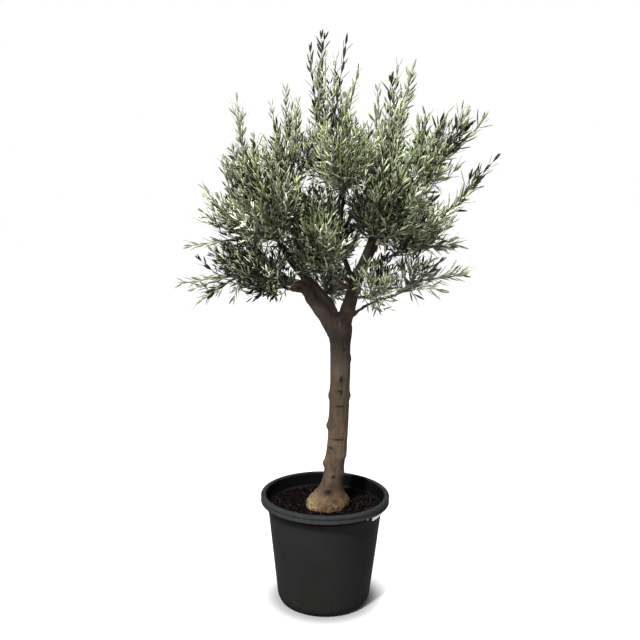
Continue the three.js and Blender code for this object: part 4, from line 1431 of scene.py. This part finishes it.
def makeLabel():
    sizes = labelSizes
    low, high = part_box("label")
    a0, a1 = [math.atan2(y, x) for x, y in ((low.x, low.y), (high.x, high.y))]
    radius = math.hypot(high.x, high.y)
    across, tall, corner, wide = sizes["across"], sizes["tall"], sizes["corner"], sizes["halfWidth"]
    points, faces = [], []
    for layer in (0, 1):
        for j in range(tall + 1):
            for i in range(across + 1):
                u, v = i / across, j / tall
                inset = max(abs(u - 0.5) * 2 * wide - (wide - corner), 0) / corner
                half = (high.z - low.z) / 2 - corner * (1 - math.sqrt(max(1 - inset * inset, 0)))
                z = (high.z + low.z) / 2 + half * (2 * v - 1)
                curl = sizes["curl"] * max(u - sizes["curlFrom"], 0) ** 2
                lift = sizes["lift"] + curl + layer * sizes["thickness"]
                angle = lerp(a0, a1, u)
                around = radius - (high.z - z) * sizes["lean"] + lift
                points.append((around * math.cos(angle), around * math.sin(angle), z))
    row, sheet = across + 1, (across + 1) * (tall + 1)
    for j in range(tall):
        for i in range(across):
            a = j * row + i
            faces.append((a, a + row, a + row + 1, a + 1))
            faces.append((sheet + a, sheet + a + 1, sheet + a + row + 1, sheet + a + row))
    loop = list(range(across)) + [j * row + across for j in range(tall)]
    loop += [tall * row + i for i in range(across, 0, -1)] + [j * row for j in range(tall, 0, -1)]
    for a, b in zip(loop, loop[1:] + loop[:1]):
        faces.append((a, b, sheet + b, sheet + a))
    label = makePiece("bareLabel", points, faces, makeFinish("labelFinish", fillLabel))
    settle(label, ["label"])


def makeStud():
    low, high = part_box("stud")
    centre = (low + high) / 2
    outwards = Vector((centre.x, centre.y, 0)).normalized()
    bm = bmesh.new()
    bmesh.ops.create_uvsphere(bm, u_segments=24, v_segments=14, radius=1)
    turn = outwards.to_track_quat("Z", "Y").to_matrix().to_4x4()
    size = Matrix.Diagonal((*labelSizes["stud"], 1))
    bmesh.ops.transform(bm, matrix=Matrix.Translation(centre) @ turn @ size, verts=bm.verts)
    mesh = bpy.data.meshes.new("stud")
    bm.to_mesh(mesh)
    bm.free()
    stud = addObject("studHead", mesh)
    smoothShade(stud)
    stud.data.materials.append(makeFinish("studFinish", fillStud))
    settle(stud, ["stud"])


makeLabel()
makeStud()


viewSizes = {
    "place": (0, -2.6, 1.347),
    "width": 640,          # of the picture, and the focal length in the same units
    "focal": 830.2,
    "pitch": 0.1577,
    "yaw": -0.0096,
    "roll": -0.0148,
    "sensor": 36.0,
    "floorHalf": 9,
    "shadow": (0.138, 0.240),   # between these distances from the pot's middle its soft shadow fades out
}

# place, what it is aimed at, size and power
lamps = {
    "key": ((-1.2, -2.4, 3.6), (0, 0, 1.2), 0.5, 520),
    "top": ((0.2, 0.1, 4.0), (0, 0, 1.0), 1.0, 150),
}


def makeFloor():
    half = viewSizes["floorHalf"]
    corners = [(half * x, half * y, 0) for x, y in ((-1, -1), (1, -1), (1, 1), (-1, 1))]
    floor = addObject("floor", meshFrom("floor", corners, [(0, 1, 2, 3)]))

    # lit from within except round the pot, where leaving out the glow paints its soft shadow
    def fill(net, place):
        glow = net.mix(net.smooth(net.across(place), *viewSizes["shadow"]), (0, 0, 0), (0.95, 0.95, 0.95))
        return {"Base Color": (0.22, 0.22, 0.22), "Roughness": 0.9, "Specular IOR Level": 0.0,
                "Emission Color": glow, "Emission Strength": 1.0}
    floor.data.materials.append(makeFinish("floorFinish", fill))


def makeLight(name, place, aim, size, power):
    light = bpy.data.lights.new(name, "AREA")
    light.shape = "DISK"
    light.size = size
    light.energy = power
    lamp = bpy.data.objects.new(name, light)
    lamp.location = place
    lamp.rotation_euler = (Vector(aim) - Vector(place)).to_track_quat("-Z", "Y").to_euler()
    bpy.context.scene.collection.objects.link(lamp)


def makeSky():
    world = bpy.data.worlds.new("sky")
    world.use_nodes = True
    net = Net(world.node_tree)
    # white all round, greyer overhead, so that the lamps above shape the crown
    way = net.node("ShaderNodeTexCoord", {}, {}, "Generated")
    height = net.axis(way, "Z")
    tint = net.mix(net.smooth(height, 0.34, 0.62), (1, 1, 1), (0.30, 0.30, 0.30))
    net.fill(world.node_tree.nodes["Background"], {"Color": tint})
    bpy.context.scene.world = world


def makeCamera():
    v = viewSizes
    pitch, yaw, roll = v["pitch"], v["yaw"], v["roll"]
    ahead = Vector((math.sin(yaw) * math.cos(pitch), math.cos(yaw) * math.cos(pitch), -math.sin(pitch)))
    right = Vector((math.cos(yaw), -math.sin(yaw), 0))
    up = right.cross(ahead)
    rightTurned = right * math.cos(roll) - up * math.sin(roll)
    upTurned = right * math.sin(roll) + up * math.cos(roll)
    data = bpy.data.cameras.new("camera")
    data.sensor_width = v["sensor"]
    data.lens = v["sensor"] * v["focal"] / v["width"]
    data.clip_end = 50
    camera = bpy.data.objects.new("camera", data)
    turn = Matrix((rightTurned, upTurned, -ahead)).transposed().to_4x4()
    camera.matrix_world = Matrix.Translation(v["place"]) @ turn
    bpy.context.scene.collection.objects.link(camera)
    bpy.context.scene.camera = camera


makeFloor()
makeSky()
for lampName, lampSizes in lamps.items():
    makeLight(lampName, *lampSizes)
makeCamera()
bpy.context.scene.view_settings.view_transform = "Standard"
print("stage set")
